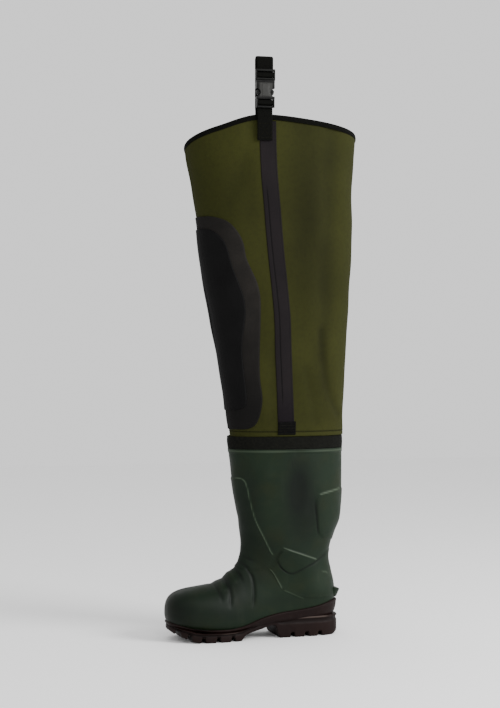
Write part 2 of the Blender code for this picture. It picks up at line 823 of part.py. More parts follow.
def closed_loop(name, rows):
    """Solid whose section is the closed loop of these rings."""
    grid = np.array(rows)
    count, around = grid.shape[:2]
    faces = []
    for i in range(count):
        for k in range(around):
            n = (k + 1) % around
            m = (i + 1) % count
            faces.append((i * around + k, i * around + n, m * around + n, m * around + k))
    return add_mesh(name, grid.reshape(-1, 3), faces)


def make_binding():
    """Channel folded over the leg's edge. Its section goes over the outside and back along the leg."""
    gap = binding_gap
    thick = binding_thickness
    drop = binding_drop
    wall = leg_wall
    section = [
        (gap + 0.8 * thick, -drop), (gap + thick, -0.43 * drop), (gap + 0.4 * thick, gap + 0.5 * thick),
        (-0.24 * wall, gap + 1.2 * thick), (-0.76 * wall, gap + 1.2 * thick),
        (-wall - gap - 0.4 * thick, gap + 0.5 * thick), (-wall - gap - thick, -0.43 * drop),
        (-wall - gap - 0.8 * thick, -drop), (-wall - gap, -drop), (-wall - gap, gap), (gap, gap), (gap, -drop),
    ]
    rows = []
    for offset, lift in section:
        ring = [leg_point(collar_height * collar_share(turn) + lift, turn, offset) for turn in leg_turns()]
        rows.append(ring)
    return closed_loop("collar_binding", rows)


# Straps and buckle, in a frame at the collar: across, outwards and up


def strap_point(across, out, up):
    x0 = heel_back - strap_along * foot_length
    centre, a, b = leg_values(collar_height)
    y0 = -b * (1 - abs((x0 - centre) / a) ** leg_square) ** (1 / leg_square) - binding_thickness / 2
    c = math.cos(strap_turn)
    s = math.sin(strap_turn)
    return (x0 + across * c - out * s, y0 - across * s - out * c, collar_height + up)


def in_frame(thing):
    work = bmesh.new()
    work.from_mesh(thing.data)
    for vertex in work.verts:
        vertex.co = strap_point(*vertex.co)
    face_outwards(work)
    work.to_mesh(thing.data)
    work.free()
    return thing


def plate(name, low, high, hidden=True):
    """Box in the strap's frame. low and high: across in metres, then out and up as shares."""
    corners = [(across, out * buckle_depth, up * strap_rise) for across, out, up in (low, high)]
    return box(name, *corners, hidden)


def strap_path(rows):
    return [(out * buckle_depth, up * strap_rise) for out, up in rows]


def ribbon(name, path, width):
    """Webbing that follows a path of (out, up) points."""
    half = webbing_thickness / 2
    left = []
    right = []
    for k, (x, y) in enumerate(path):
        before = path[max(k - 1, 0)]
        after = path[min(k + 1, len(path) - 1)]
        d1 = np.array([x - before[0], y - before[1]])
        d2 = np.array([after[0] - x, after[1] - y])
        d1 = d1 / (np.linalg.norm(d1) or 1)
        d2 = d2 / (np.linalg.norm(d2) or 1)
        if k == 0:
            d1 = d2
        if k == len(path) - 1:
            d2 = d1
        middle = d1 + d2
        middle = middle / np.linalg.norm(middle)
        reach = half / max(0.5, float(np.dot(middle, d1)))
        normal = np.array([-middle[1], middle[0]])
        left.append((x + normal[0] * reach, y + normal[1] * reach))
        right.append((x - normal[0] * reach, y - normal[1] * reach))
    points = []
    for across in (-width / 2, width / 2):
        for out, up in left + right[::-1]:
            points.append((across, out, up))
    n = len(left) * 2
    half_count = len(left)
    faces = [(k, (k + 1) % n, n + (k + 1) % n, n + k) for k in range(n)]
    for k in range(half_count - 1):
        quad = (k, k + 1, n - k - 2, n - k - 1)
        faces.append(quad)
        faces.append(tuple(n + v for v in quad))
    return in_frame(add_mesh(name, points, faces))


def make_buckle_strap():
    turn = strap_path(buckle_strap_turn)
    return ribbon("buckle_strap", [(turn[0][0], -strap_sewn)] + turn, webbing_width)


def make_loop_strap():
    turn = strap_path(loop_strap_turn)
    radius = belt_gap / 2 + webbing_thickness * 1.1
    front = turn[0][0]
    centre = front - radius
    back = centre - radius
    top = strap_rise - radius
    behind = -(leg_wall + 2 * binding_thickness + binding_gap + webbing_thickness / 2 + seam_gap)
    path = [(behind, -strap_sewn), (behind, 0.06 * strap_rise), (back, 0.16 * strap_rise), (back, top)]
    for k in range(1, 8):
        angle = math.pi * k / 8
        path.append((centre - radius * math.cos(angle), top + radius * math.sin(angle)))
    return ribbon("belt_loop_strap", path + [(front, top)] + turn, loop_webbing_width)


def side_span(side, near, far):
    return sorted((side * near, side * far))


def make_female():
    half = buckle_width / 2
    socket_half = webbing_width / 2 * 0.94
    body = plate("buckle_female", (-half, -0.05, 0.263), (half, 0.90, 0.575), hidden=False)
    for index, side in enumerate((-1, 1)):
        low, high = side_span(side, half - rail_width, half)
        rail = plate(f"female_rail_{index}", (low, 0.28, 0.121), (high, 0.85, 0.308))
        combine(body, rail, "UNION")
    frame = plate("female_frame", (-half * 0.98, 0.45, 0.118), (half * 0.98, 0.82, 0.148))
    combine(body, frame, "UNION")
    bar = plate("female_bar", (-half * 0.935, 0.46, 0.197), (half * 0.935, 0.66, 0.228))
    combine(body, bar, "UNION")
    socket = plate("female_socket", (-socket_half, 0.18, 0.287), (socket_half, 0.67, 0.616))
    combine(body, socket, "DIFFERENCE")
    middle = 0.372 * strap_rise
    reach = 0.072 * strap_rise
    for index, side in enumerate((-1, 1)):
        outline = []
        for k in range(9):
            angle = math.pi * (k / 8 - 0.5)
            across = side * half * (1.065 - 0.535 * math.cos(angle))
            outline.append((across, middle + reach * math.sin(angle)))
        outline += [(side * half * 1.3, middle + reach), (side * half * 1.3, middle - reach)]
        window = prism(f"female_window_{index}", outline, -buckle_depth / 2, buckle_depth * 1.4)
        combine(body, window, "DIFFERENCE")
    return in_frame(bevelled(body, buckle_bevel))


def make_male():
    half = ladder_width / 2
    arm = webbing_width / 2
    body = plate("buckle_male", (-half, 0.20, 0.580), (half, 0.68, 0.614), hidden=False)
    for index, side in enumerate((-1, 1)):
        low, high = side_span(side, half - rail_width, half)
        rail = plate(f"male_rail_{index}", (low, 0.22, 0.585), (high, 0.75, 0.770))
        combine(body, rail, "UNION")
        low, high = side_span(side, arm * 0.706, arm * 0.902)
        combine(body, plate(f"male_arm_{index}", (low, 0.23, 0.411), (high, 0.62, 0.595)), "UNION")
        outline = [(side * arm * across, up * strap_rise) for across, up in prong_outline]
        prong = prism(f"male_prong_{index}", outline, 0.23 * buckle_depth, 0.62 * buckle_depth)
        combine(body, prong, "UNION")
    upper_bar = plate("male_upper_bar", (-half * 0.94, 0.46, 0.737), (half * 0.94, 0.75, 0.770))
    combine(body, upper_bar, "UNION")
    lower_bar = plate("male_lower_bar", (-half * 0.94, 0.40, 0.653), (half * 0.94, 0.58, 0.686))
    combine(body, lower_bar, "UNION")
    guide = plate("male_guide", (-arm * 0.235, 0.25, 0.452), (arm * 0.235, 0.60, 0.595))
    combine(body, guide, "UNION")
    return in_frame(body)


def bevelled(thing, width):
    modifier = thing.modifiers.new("Bevel", "BEVEL")
    modifier.width = width
    modifier.segments = 1
    modifier.limit_method = "ANGLE"
    modifier.angle_limit = math.radians(50)
    bpy.context.view_layer.update()
    graph = bpy.context.evaluated_depsgraph_get()
    mesh = bpy.data.meshes.new_from_object(thing.evaluated_get(graph))
    thing.modifiers.clear()
    thing.data = mesh
    return thing


# Build

for thing in list(bpy.data.objects):
    bpy.data.objects.remove(thing)

wader = collection_named("hip_wader")
cutters = collection_named("cutters", hidden=True)

material(make_upper(), (0.030, 0.042, 0.028), 0.42)
material(make_outsole(), (0.035, 0.020, 0.016), 0.60)
material(make_insole(), (0.030, 0.030, 0.030), 0.85)
material(make_leg(), (0.036, 0.036, 0.016), 0.90)
outer_pad = leg_layer("knee_pad_outer", pad_outline(outer_pad_edge), seam_gap, pad_thickness, leg_width)
material(outer_pad, (0.037, 0.032, 0.027), 0.85)
inner_lift = pad_thickness + 2 * seam_gap
inner_pad = leg_layer("knee_pad_inner", pad_outline(inner_pad_edge), inner_lift, pad_thickness, leg_width)
material(inner_pad, (0.008, 0.007, 0.007), 0.75)
material(make_tape(), (0.018, 0.015, 0.015), 0.85)
material(make_patch(), (0.010, 0.009, 0.009), 0.80)
material(make_band(), (0.012, 0.011, 0.009), 0.80)
material(make_binding(), (0.012, 0.012, 0.010), 0.85)
material(make_buckle_strap(), (0.008, 0.008, 0.006), 0.85)
material(make_loop_strap(), (0.006, 0.006, 0.006), 0.85)
material(make_female(), (0.055, 0.055, 0.052), 0.30)
material(make_male(), (0.030, 0.030, 0.028), 0.35)
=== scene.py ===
# Looks of the left hip wader: green boot, brown sole, olive neoprene leg, knee pad, side tape, belt strap.
# Metres, up is +Z, the toe points to -X and the outer side of the foot is at -Y, as in the frame.

import math

import bmesh
import bpy
import numpy as np
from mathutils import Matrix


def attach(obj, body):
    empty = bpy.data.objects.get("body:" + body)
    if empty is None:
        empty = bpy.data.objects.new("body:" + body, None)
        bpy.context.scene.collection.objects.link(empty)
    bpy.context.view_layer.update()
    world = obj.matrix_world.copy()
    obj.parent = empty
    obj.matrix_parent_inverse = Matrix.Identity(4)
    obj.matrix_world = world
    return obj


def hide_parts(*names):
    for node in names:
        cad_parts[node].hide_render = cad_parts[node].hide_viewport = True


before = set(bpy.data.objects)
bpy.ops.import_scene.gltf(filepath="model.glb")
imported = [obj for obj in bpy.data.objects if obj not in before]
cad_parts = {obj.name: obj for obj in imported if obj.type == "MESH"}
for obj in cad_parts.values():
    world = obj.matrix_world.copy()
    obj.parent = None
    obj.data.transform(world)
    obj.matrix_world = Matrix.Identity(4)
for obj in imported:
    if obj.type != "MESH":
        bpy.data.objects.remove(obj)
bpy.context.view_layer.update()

# Main sizes, as in the frame
foot_length = 0.305
ball_width = 0.110
heel_back = 0.0515
instep_height = 0.141
rim_height = 0.319
boot_wall = 0.0028
leg_wall = 0.0042
leg_depth = 0.290
leg_width = 0.150
collar_height = 0.874
hem_height = 0.3405
tuck_depth = 0.020
sole_back_height = 0.060
lug_depth = 0.0065
cup_wall = 0.0028
seam_gap = 0.0003
rim_step = 0.0008
insole_margin = 0.0085
insole_thickness = 0.0038

# Layers
pad_thickness = 0.0015
tape_width = 0.028
tape_thickness = 0.0010
binding_drop = 0.0070
binding_thickness = 0.0015
hem_stitch = 0.0085
patch_low = hem_height + 0.0030
patch_height = 0.0225
patch_along = 0.349
patch_width = 0.030
pad_edge = 0.0022
tape_edge = 0.0014
stitch_pitch = 0.0045

# Straps and buckle
strap_along = 0.4967
strap_turn = math.radians(5.0)
strap_rise = 0.0974
strap_sewn = 0.042
buckle_depth = 0.010
webbing_width = 0.0255
loop_webbing_width = 0.028
webbing_thickness = 0.0016
rail_width = 0.0023
belt_gap = 0.010
short_turn = [
    # out as share of the buckle's depth, up as share of the strap's rise
    (0.32, 0.144), (0.42, 0.160), (0.66, 0.177), (0.77, 0.191), (0.77, 0.224), (0.68, 0.242), (0.40, 0.246),
    (0.21, 0.242), (0.13, 0.228), (0.13, 0.062),
]
loop_turn = [
    (0.30, 0.733), (0.42, 0.719), (0.64, 0.706), (0.71, 0.692), (0.71, 0.659), (0.64, 0.643), (0.40, 0.634),
    (0.18, 0.639), (0.10, 0.657), (0.10, 0.821),
]
prong = [
    # across as share of half the webbing's width, up as share of the strap's rise
    (0.706, 0.436), (0.902, 0.431), (1.082, 0.419), (1.176, 0.395), (1.114, 0.354), (0.878, 0.316),
    (0.769, 0.320), (0.769, 0.359),
]

# Camera, from the photograph
picture_height = 708
pixel_size = 0.00170
view_turn = math.radians(17.0)
view_distance = 2.6
view_target = (-0.1025, 0.0, 0.479)

# Foot sections from toe to ankle, then the shaft, as in the part's source. along: share of foot length.
# up: share of instep height. outer, inner: half widths as shares of ball width.
foot_sections = [
    # low_along, low_up, top_along, top_up, outer, inner, wide, low_square, top_square
    (0.989, 0.295, 0.989, 0.345, 0.018, 0.022, 0.45, 2.0, 2.0),
    (0.983, 0.245, 0.983, 0.430, 0.125, 0.155, 0.43, 2.4, 2.3),
    (0.969, 0.208, 0.969, 0.495, 0.215, 0.265, 0.42, 2.8, 2.5),
    (0.944, 0.185, 0.944, 0.546, 0.295, 0.355, 0.41, 3.2, 2.5),
    (0.910, 0.163, 0.907, 0.582, 0.355, 0.425, 0.40, 3.6, 2.5),
    (0.865, 0.142, 0.860, 0.607, 0.405, 0.475, 0.38, 3.8, 2.4),
    (0.805, 0.122, 0.790, 0.629, 0.435, 0.503, 0.36, 3.8, 2.3),
    (0.745, 0.106, 0.735, 0.648, 0.445, 0.505, 0.34, 3.8, 2.2),
    (0.685, 0.100, 0.695, 0.674, 0.435, 0.485, 0.33, 4.0, 2.1),
    (0.620, 0.105, 0.662, 0.722, 0.415, 0.450, 0.31, 4.0, 2.0),
    (0.555, 0.118, 0.638, 0.762, 0.395, 0.410, 0.30, 4.0, 1.95),
    (0.490, 0.138, 0.615, 0.800, 0.380, 0.380, 0.29, 4.0, 1.9),
    (0.420, 0.160, 0.596, 0.845, 0.365, 0.360, 0.28, 4.0, 1.9),
    (0.345, 0.178, 0.581, 0.890, 0.355, 0.345, 0.28, 4.0, 1.9),
    (0.265, 0.190, 0.570, 0.935, 0.350, 0.340, 0.28, 3.8, 1.9),
    (0.180, 0.196, 0.5625, 0.980, 0.350, 0.342, 0.29, 3.4, 1.92),
    (0.100, 0.200, 0.558, 1.020, 0.352, 0.348, 0.31, 2.9, 1.95),
    (0.045, 0.225, 0.5565, 1.060, 0.356, 0.354, 0.34, 2.4, 2.0),
    (0.018, 0.320, 0.555, 1.100, 0.362, 0.360, 0.37, 2.2, 2.0),
    (0.0132, 0.460, 0.555, 1.140, 0.370, 0.368, 0.40, 2.15, 2.0),
    (0.020, 0.620, 0.556, 1.180, 0.380, 0.378, 0.43, 2.1, 2.0),
    (0.036, 0.770, 0.558, 1.220, 0.388, 0.386, 0.46, 2.1, 2.0),
    (0.050, 0.930, 0.5605, 1.270, 0.395, 0.395, 0.48, 2.1, 2.05),
    (0.038, 1.080, 0.564, 1.340, 0.405, 0.405, 0.50, 2.1, 2.1),
    (0.014, 1.240, 0.568, 1.430, 0.420, 0.420, 0.50, 2.1, 2.1),
]
shaft_sections = [
    # back_along, back_up, front_along, front_up, half_width
    (-0.014, 0.144, 0.575, 0.076, 0.440),
    (-0.024, 0.314, 0.586, 0.217, 0.455),
    (-0.029, 0.484, 0.598, 0.383, 0.470),
    (-0.030, 0.657, 0.609, 0.579, 0.485),
    (-0.030, 0.823, 0.6175, 0.783, 0.495),
    (-0.030, 0.929, 0.624, 0.913, 0.500),
    (-0.030, 1.000, 0.6275, 1.000, 0.500),
    (-0.030, 1.100, 0.632, 1.122, 0.500),
]
shaft_square = 2.1

leg_sections = [
    # up from hem to collar, centre along, depth, width
    (0.004, 0.291, 0.690, 0.740),
    (0.037, 0.294, 0.698, 0.760),
    (0.102, 0.301, 0.716, 0.790),
    (0.181, 0.308, 0.748, 0.820),
    (0.263, 0.318, 0.778, 0.850),
    (0.353, 0.327, 0.821, 0.880),
    (0.451, 0.336, 0.868, 0.910),
    (0.558, 0.348, 0.914, 0.940),
    (0.672, 0.360, 0.944, 0.965),
    (0.787, 0.374, 0.980, 0.985),
    (0.885, 0.383, 1.025, 1.000),
    (0.951, 0.386, 1.040, 1.000),
    (1.098, 0.391, 1.045, 1.000),
]
leg_square = 2.05
collar_edge = [
    # degrees from the front towards the outer side, share of collar height
    (0, 0.950), (45, 0.978), (78, 1.000), (110, 0.994), (150, 0.983), (180, 0.972), (225, 0.935),
    (270, 0.915), (315, 0.930),
]

sole_plan = [
    # along, outer, inner
    (0.000, 0.000, 0.000), (0.012, 0.140, 0.140), (0.045, 0.240, 0.240), (0.100, 0.300, 0.300),
    (0.180, 0.325, 0.325), (0.260, 0.323, 0.328), (0.350, 0.318, 0.328), (0.450, 0.335, 0.355),
    (0.550, 0.385, 0.412), (0.640, 0.430, 0.468), (0.720, 0.452, 0.502), (0.790, 0.446, 0.502),
    (0.850, 0.420, 0.480), (0.895, 0.370, 0.430), (0.932, 0.296, 0.356), (0.958, 0.208, 0.262),
    (0.975, 0.112, 0.155), (0.983, 0.000, 0.035),
]
sole_side = [
    # along, ground, ledge, edge, as shares of the sole's height at its back
    (0.000, 0.140, 0.560, 1.000), (0.020, 0.050, 0.565, 1.000), (0.055, 0.000, 0.570, 0.985),
    (0.090, 0.000, 0.570, 0.940), (0.160, 0.000, 0.570, 0.860), (0.240, 0.000, 0.570, 0.800),
    (0.360, 0.000, 0.570, 0.735), (0.396, 0.370, 0.560, 0.705), (0.480, 0.280, 0.450, 0.600),
    (0.570, 0.150, 0.310, 0.430), (0.600, 0.000, 0.275, 0.385), (0.670, 0.000, 0.250, 0.335),
    (0.790, 0.000, 0.255, 0.345), (0.840, 0.020, 0.275, 0.365), (0.900, 0.110, 0.350, 0.440),
    (0.955, 0.230, 0.430, 0.520), (0.983, 0.340, 0.500, 0.560),
]
sole_levels = [
    # share of the way from ground to ledge, move outwards in metres
    (0.0, -0.0016), (0.03, -0.0007), (0.07, -0.0001), (0.14, 0.0), (0.40, 0.0), (0.62, 0.0), (0.68, -0.0002),
    (0.71, -0.0012), (0.76, -0.0016), (0.83, -0.0016), (0.87, -0.0012), (0.90, -0.0001), (0.94, 0.0003),
    (0.98, 0.0001), (1.0, -0.0008), (1.0, -0.0040), (1.0, -0.0090),
]
groove_shares = (0.645, 0.730, 0.812, 0.885, 0.941, 0.130, 0.208, 0.290)
channel_shares = (0.655, 0.900)
groove_flare = 0.013
groove_half_width = 0.0035
channel_half_width = 0.0045

# Panels of the boot in the side view. along: share of foot length. up: share of rim height.
shin_outline = [
    (0.75, 0.842), (0.604, 0.842), (0.584, 0.848), (0.567, 0.838), (0.556, 0.818), (0.529, 0.706),
    (0.501, 0.616), (0.464, 0.543), (0.419, 0.457), (0.402, 0.430), (0.436, 0.366), (0.560, 0.358),
    (0.620, 0.390), (0.75, 0.390),
]
counter_outline = [
    (0.418, 0.358), (0.399, 0.342), (0.355, 0.256), (0.312, 0.238), (0.259, 0.215), (0.180, 0.205),
    (-0.10, 0.205), (-0.10, 0.470), (0.036, 0.458), (0.075, 0.447), (0.158, 0.410), (0.240, 0.396),
    (0.330, 0.402), (0.385, 0.400),
]
shield_outline = [
    (0.350, 0.478), (0.158, 0.411), (0.165, 0.396), (0.239, 0.366), (0.300, 0.333), (0.338, 0.348),
    (0.368, 0.378), (0.386, 0.422), (0.375, 0.441),
]
calf_outline = [
    (0.146, 0.757), (0.017, 0.780), (-0.12, 0.788), (-0.12, 0.500), (0.100, 0.508), (0.147, 0.551),
    (0.159, 0.624), (0.169, 0.692), (0.163, 0.735),
]
boot_panels = [
    # outline, height and width of its step in metres
    (shin_outline, 0.0012, 0.0016), (counter_outline, 0.0010, 0.0016), (shield_outline, 0.0020, 0.0018),
    (calf_outline, 0.0012, 0.0018),
]

# Raised lines and creases of the boot: points along and up as above, then height and half width in metres.
# Each fades out towards its ends.
boot_lines = [
    ([(0.625, 0.838), (0.600, 0.845), (0.583, 0.848), (0.566, 0.838), (0.554, 0.815), (0.529, 0.706),
      (0.501, 0.616), (0.464, 0.543), (0.419, 0.457), (0.404, 0.436)], 0.0011, 0.0010),
    ([(0.362, 0.482), (0.300, 0.459), (0.148, 0.407)], 0.0011, 0.0010),
    ([(0.430, 0.370), (0.404, 0.351), (0.354, 0.256)], 0.0010, 0.0009),
    ([(0.354, 0.256), (0.312, 0.238), (0.262, 0.216), (0.225, 0.203)], 0.0006, 0.0009),
    ([(0.156, 0.755), (0.082, 0.770), (0.000, 0.784)], 0.0011, 0.0012),
    ([(0.130, 0.343), (0.100, 0.340), (0.078, 0.328)], 0.0006, 0.0010),
    ([(0.386, 0.422), (0.368, 0.378), (0.338, 0.350), (0.300, 0.335), (0.239, 0.364), (0.165, 0.394),
      (0.110, 0.425), (0.060, 0.448)], -0.0013, 0.0013),
    ([(0.173, 0.735), (0.171, 0.700), (0.160, 0.624), (0.149, 0.555), (0.143, 0.520)], -0.0015, 0.0014),
    ([(0.585, 0.405), (0.557, 0.390), (0.530, 0.352), (0.517, 0.318), (0.514, 0.260), (0.520, 0.205),
      (0.534, 0.160)], -0.0019, 0.0028),
    ([(0.672, 0.350), (0.657, 0.299), (0.650, 0.262), (0.654, 0.215), (0.664, 0.160)], -0.0017, 0.0034),
    ([(0.612, 0.392), (0.587, 0.341), (0.576, 0.312), (0.576, 0.285)], -0.0019, 0.0028),
    ([(0.735, 0.310), (0.715, 0.266), (0.704, 0.230), (0.706, 0.195)], -0.0016, 0.0032),
    ([(0.645, 0.360), (0.622, 0.322), (0.612, 0.290)], 0.0011, 0.0040),
    ([(0.705, 0.325), (0.688, 0.285), (0.680, 0.255)], 0.0010, 0.0040),
    ([(0.560, 0.440), (0.545, 0.425), (0.515, 0.408), (0.490, 0.402)], -0.0008, 0.0024),
    ([(0.545, 0.372), (0.530, 0.362), (0.519, 0.340)], 0.0007, 0.0011),
    ([(0.316, 0.970), (0.315, 0.885)], -0.0004, 0.0009),
    ([(0.303, 0.970), (0.302, 0.900)], -0.0003, 0.0009),
]
ridge_fade = 0.005
crease_fade = 0.018

# Soft hollows and swellings of the boot: along, up, height, reach along, reach up in metres.
boot_hollows = [
    (0.279, 0.775, -0.0022, 0.017, 0.040),
    (0.190, 0.690, -0.0014, 0.012, 0.030),
    (0.255, 0.560, -0.0012, 0.018, 0.026),
    (0.470, 0.330, 0.0010, 0.014, 0.014),
    (0.598, 0.300, 0.0012, 0.012, 0.022),
    (0.590, 0.392, -0.0014, 0.010, 0.008),
    (0.470, 0.720, 0.0008, 0.020, 0.050),
]

# Painted shade on the boot, painted light where the amount is negative: along, up, amount, reach along,
# reach up in metres.
boot_painted_shade = [
    (0.275, 0.775, 0.98, 0.024, 0.058),
    (0.190, 0.640, 0.32, 0.014, 0.044),
    (0.550, 0.590, 0.58, 0.022, 0.100),
    (0.430, 0.480, 0.40, 0.030, 0.032),
    (0.450, 0.350, 0.32, 0.018, 0.020),
    (0.640, 0.290, 0.50, 0.040, 0.028),
    (0.700, 0.165, 0.52, 0.042, 0.030),
    (0.965, 0.155, 0.92, 0.044, 0.050),
    (0.860, 0.330, 0.42, 0.056, 0.016),
    (0.320, 0.200, 0.22, 0.060, 0.010),
    (0.130, 0.290, -0.10, 0.022, 0.022),
    (0.450, 0.880, -0.06, 0.040, 0.024),
]

# Painted shade on the leg's outer side, painted light where the amount is negative: along, up from hem to
# collar, amount, then the reach along and up in metres.
leg_painted_shade = [
    (0.235, 0.700, 0.78, 0.046, 0.170),
    (0.130, 0.250, 0.26, 0.014, 0.090),
    (0.560, 0.790, 0.16, 0.010, 0.060),
    (0.300, 0.060, 0.14, 0.080, 0.014),
    (0.620, 0.860, -0.05, 0.060, 0.050),
]

# Spur at the back of the heel. up: share of the sole's height at its back. reach: how far it stands out.
spur_profile = [
    # up, reach
    (1.004, 0.0000), (1.020, 0.0030), (1.080, 0.0052), (1.150, 0.0074), (1.215, 0.0094), (1.245, 0.0090),
    (1.268, 0.0000),
]
spur_half_turn = 0.50
spur_rows = (18.72, 19.54)

# Knee pads and side tape. along: share of foot length. up: share of the way from hem to collar.
outer_pad_edge = [
    (0.990, 0.692), (0.790, 0.692), (0.734, 0.685), (0.679, 0.672), (0.631, 0.641), (0.599, 0.604),
    (0.588, 0.559), (0.558, 0.522), (0.524, 0.481), (0.507, 0.440), (0.503, 0.387), (0.506, 0.253),
    (0.500, 0.176), (0.485, 0.132), (0.484, 0.101), (0.500, 0.051), (0.530, 0.027), (0.588, 0.020),
    (0.990, 0.020),
]
inner_pad_edge = [
    (0.990, 0.656), (0.790, 0.653), (0.743, 0.643), (0.685, 0.605), (0.657, 0.536), (0.612, 0.472),
    (0.585, 0.425), (0.579, 0.371), (0.597, 0.291), (0.582, 0.215), (0.572, 0.169), (0.556, 0.099),
    (0.593, 0.084), (0.675, 0.079), (0.990, 0.079),
]
tape_centre = [
    # up, along
    (-0.008, 0.345), (0.050, 0.355), (0.148, 0.364), (0.253, 0.375), (0.366, 0.385), (0.553, 0.421),
    (0.639, 0.437), (0.710, 0.448), (0.823, 0.468), (0.918, 0.476), (1.000, 0.477),
]

# Drape of the leg: points along and up as for the pads, then height and half width in metres. The outer side
# shows in the photograph, the inner one is a guess.
outer_folds = [
    ([(0.090, 0.960), (0.110, 0.700), (0.120, 0.420), (0.150, 0.250)], -0.0020, 0.018),
    ([(0.215, 0.900), (0.205, 0.600), (0.225, 0.380)], 0.0014, 0.020),
    ([(0.150, 0.330), (0.130, 0.210), (0.085, 0.120), (0.020, 0.070)], -0.0022, 0.008),
    ([(0.240, 0.210), (0.200, 0.110), (0.170, 0.030)], -0.0012, 0.009),
    ([(0.560, 0.960), (0.610, 0.830), (0.680, 0.730)], -0.0012, 0.014),
    ([(0.430, 0.300), (0.440, 0.160), (0.430, 0.040)], -0.0009, 0.008),
]
inner_folds = [
    ([(0.450, 0.900), (0.430, 0.600), (0.400, 0.300)], -0.0022, 0.016),
    ([(0.250, 0.800), (0.270, 0.550), (0.300, 0.300)], 0.0016, 0.020),
    ([(0.150, 0.350), (0.260, 0.200), (0.330, 0.060)], -0.0018, 0.009),
    ([(0.100, 0.700), (0.130, 0.450)], -0.0015, 0.014),
]


# Curves


def hermite(t, first, second, start, end):
    """Smooth curve from first to second that leaves and arrives with these slopes."""
    return ((2 * t**3 - 3 * t**2 + 1) * first + (3 * t**2 - 2 * t**3) * second
            + (t**3 - 2 * t**2 + t) * start + (t**3 - t**2) * end)


def smooth_rows(rows, positions):
    """Table rows at positions along the table, on a smooth curve through the rows."""
    rows = np.asarray(rows, float)
    last = len(rows) - 1
    positions = np.clip(np.asarray(positions, float), 0, last)
    index = np.minimum(positions.astype(int), last - 1)
    first = rows[index]
    second = rows[index + 1]
    before = np.where(index[:, None] > 0, rows[np.maximum(index - 1, 0)], 2 * first - second)
    after = np.where(index[:, None] + 2 <= last, rows[np.minimum(index + 2, last)], 2 * second - first)
    return hermite((positions - index)[:, None], first, second, (second - before) / 2, (after - first) / 2)


def column(rows, number, at):
    """A column of a table at values of its first one, on a smooth curve that never swings past the rows."""
    keys, values = (np.array([row[i] for row in rows], float) for i in (0, number))
    at = np.clip(np.asarray(at, float), keys[0], keys[-1])
    gaps = np.diff(keys)
    slopes = np.diff(values) / gaps
    product = slopes[:-1] * slopes[1:]
    inner = np.where(product > 0, 2 * product / (slopes[:-1] + slopes[1:] + 1e-12), 0)
    tangents = np.concatenate([[slopes[0]], inner, [slopes[-1]]])
    index = np.clip(np.searchsorted(keys, at, side="right") - 1, 0, len(keys) - 2)
    gap = gaps[index]
    t = (at - keys[index]) / gap
    return hermite(t, values[index], values[index + 1], gap * tangents[index], gap * tangents[index + 1])


def smooth_step(value):
    t = np.clip(value, 0.0, 1.0)
    return t * t * (3 - 2 * t)


def bell(distance, width):
    return np.exp(-((distance / width) ** 2))


def bulge(distance, reach):
    """Rises from 0 to 1 over the reach like a quarter circle."""
    return np.sqrt(np.clip(1 - (1 - np.clip(distance / reach, 0, 1)) ** 2, 0, 1))


def full_turn(count):
    return np.linspace(0, 2 * math.pi, count, endpoint=False)


def line_distance(x, z, points, closed=False, fade=None):
    """Distance to a line of points in the side view. With fade also its strength, which fades at its ends."""
    best = np.full(np.shape(x), 1e9)
    place = np.zeros(np.shape(x))
    run = 0.0
    ends = list(points[1:]) + ([points[0]] if closed else [])
    for (ax, az), (bx, bz) in zip(points, ends):
        dx = bx - ax
        dz = bz - az
        share = np.clip(((x - ax) * dx + (z - az) * dz) / (dx * dx + dz * dz + 1e-12), 0, 1)
        distance = np.hypot(x - ax - share * dx, z - az - share * dz)
        length = math.hypot(dx, dz)
        place = np.where(distance < best, run + share * length, place)
        best = np.minimum(best, distance)
        run += length
    if fade is None:
        return best
    return best, smooth_step(np.minimum(place, run - place) / min(fade, run / 2))


def inside_distance(x, z, points):
    """Distance to a closed outline, positive inside it."""
    inside = np.zeros(np.shape(x), bool)
    for (ax, az), (bx, bz) in zip(points, points[1:] + points[:1]):
        crosses = (az > z) != (bz > z)
        at = ax + (z - az) * (bx - ax) / (bz - az if bz != az else 1e-12)
        inside ^= crosses & (x < at)
    return np.where(inside, 1, -1) * line_distance(x, z, points, closed=True)


def rounded(points, closed=False, times=2):
    """Points with their corners cut, so that a line of listed points reads as a curve."""
    for _ in range(times):
        pairs = zip(points, points[1:] + (points[:1] if closed else []))
        cut = [(a[0] * p + b[0] * (1 - p), a[1] * p + b[1] * (1 - p)) for a, b in pairs for p in (0.75, 0.25)]
        points = cut if closed else [points[0]] + cut[1:-1] + [points[-1]]
    return points


def along_foot(share):
    return heel_back - share * foot_length


def foot_share(x):
    return (heel_back - x) / foot_length


def leg_height(up):
    return hem_height + up * (collar_height - hem_height)


def leg_share(z):
    return (z - hem_height) / (collar_height - hem_height)


def on_boot(shares):
    return [(along_foot(along), up * rim_height) for along, up in shares]


def on_leg(shares):
    return [(along_foot(along), leg_height(up)) for along, up in shares]


def spots(x, z, rows, place):
    """Amount and soft oval of each spot in a table."""
    for along, up, amount, reach_x, reach_z in rows:
        (x0, z0), = place([(along, up)])
        yield amount, bell(x - x0, reach_x) * bell(z - z0, reach_z)


# Forms


def boot_rows():
    rows = []
    for low_along, low_up, top_along, top_up, outer, inner, *shape in foot_sections:
        low = (along_foot(low_along), low_up * instep_height)
        top = (along_foot(top_along), top_up * instep_height)
        rows.append((*low, *top, outer * ball_width, inner * ball_width, *shape))
    ankle_back, ankle_front = rows[-1][1], rows[-1][3]
    for back_along, back_up, front_along, front_up, half_width in shaft_sections:
        low = (along_foot(back_along), ankle_back + back_up * (rim_height - ankle_back))
        top = (along_foot(front_along), ankle_front + front_up * (rim_height - ankle_front))
        half = half_width * ball_width
        rows.append((*low, *top, half, half, 0.5, shaft_square, shaft_square))
    return np.array(rows)


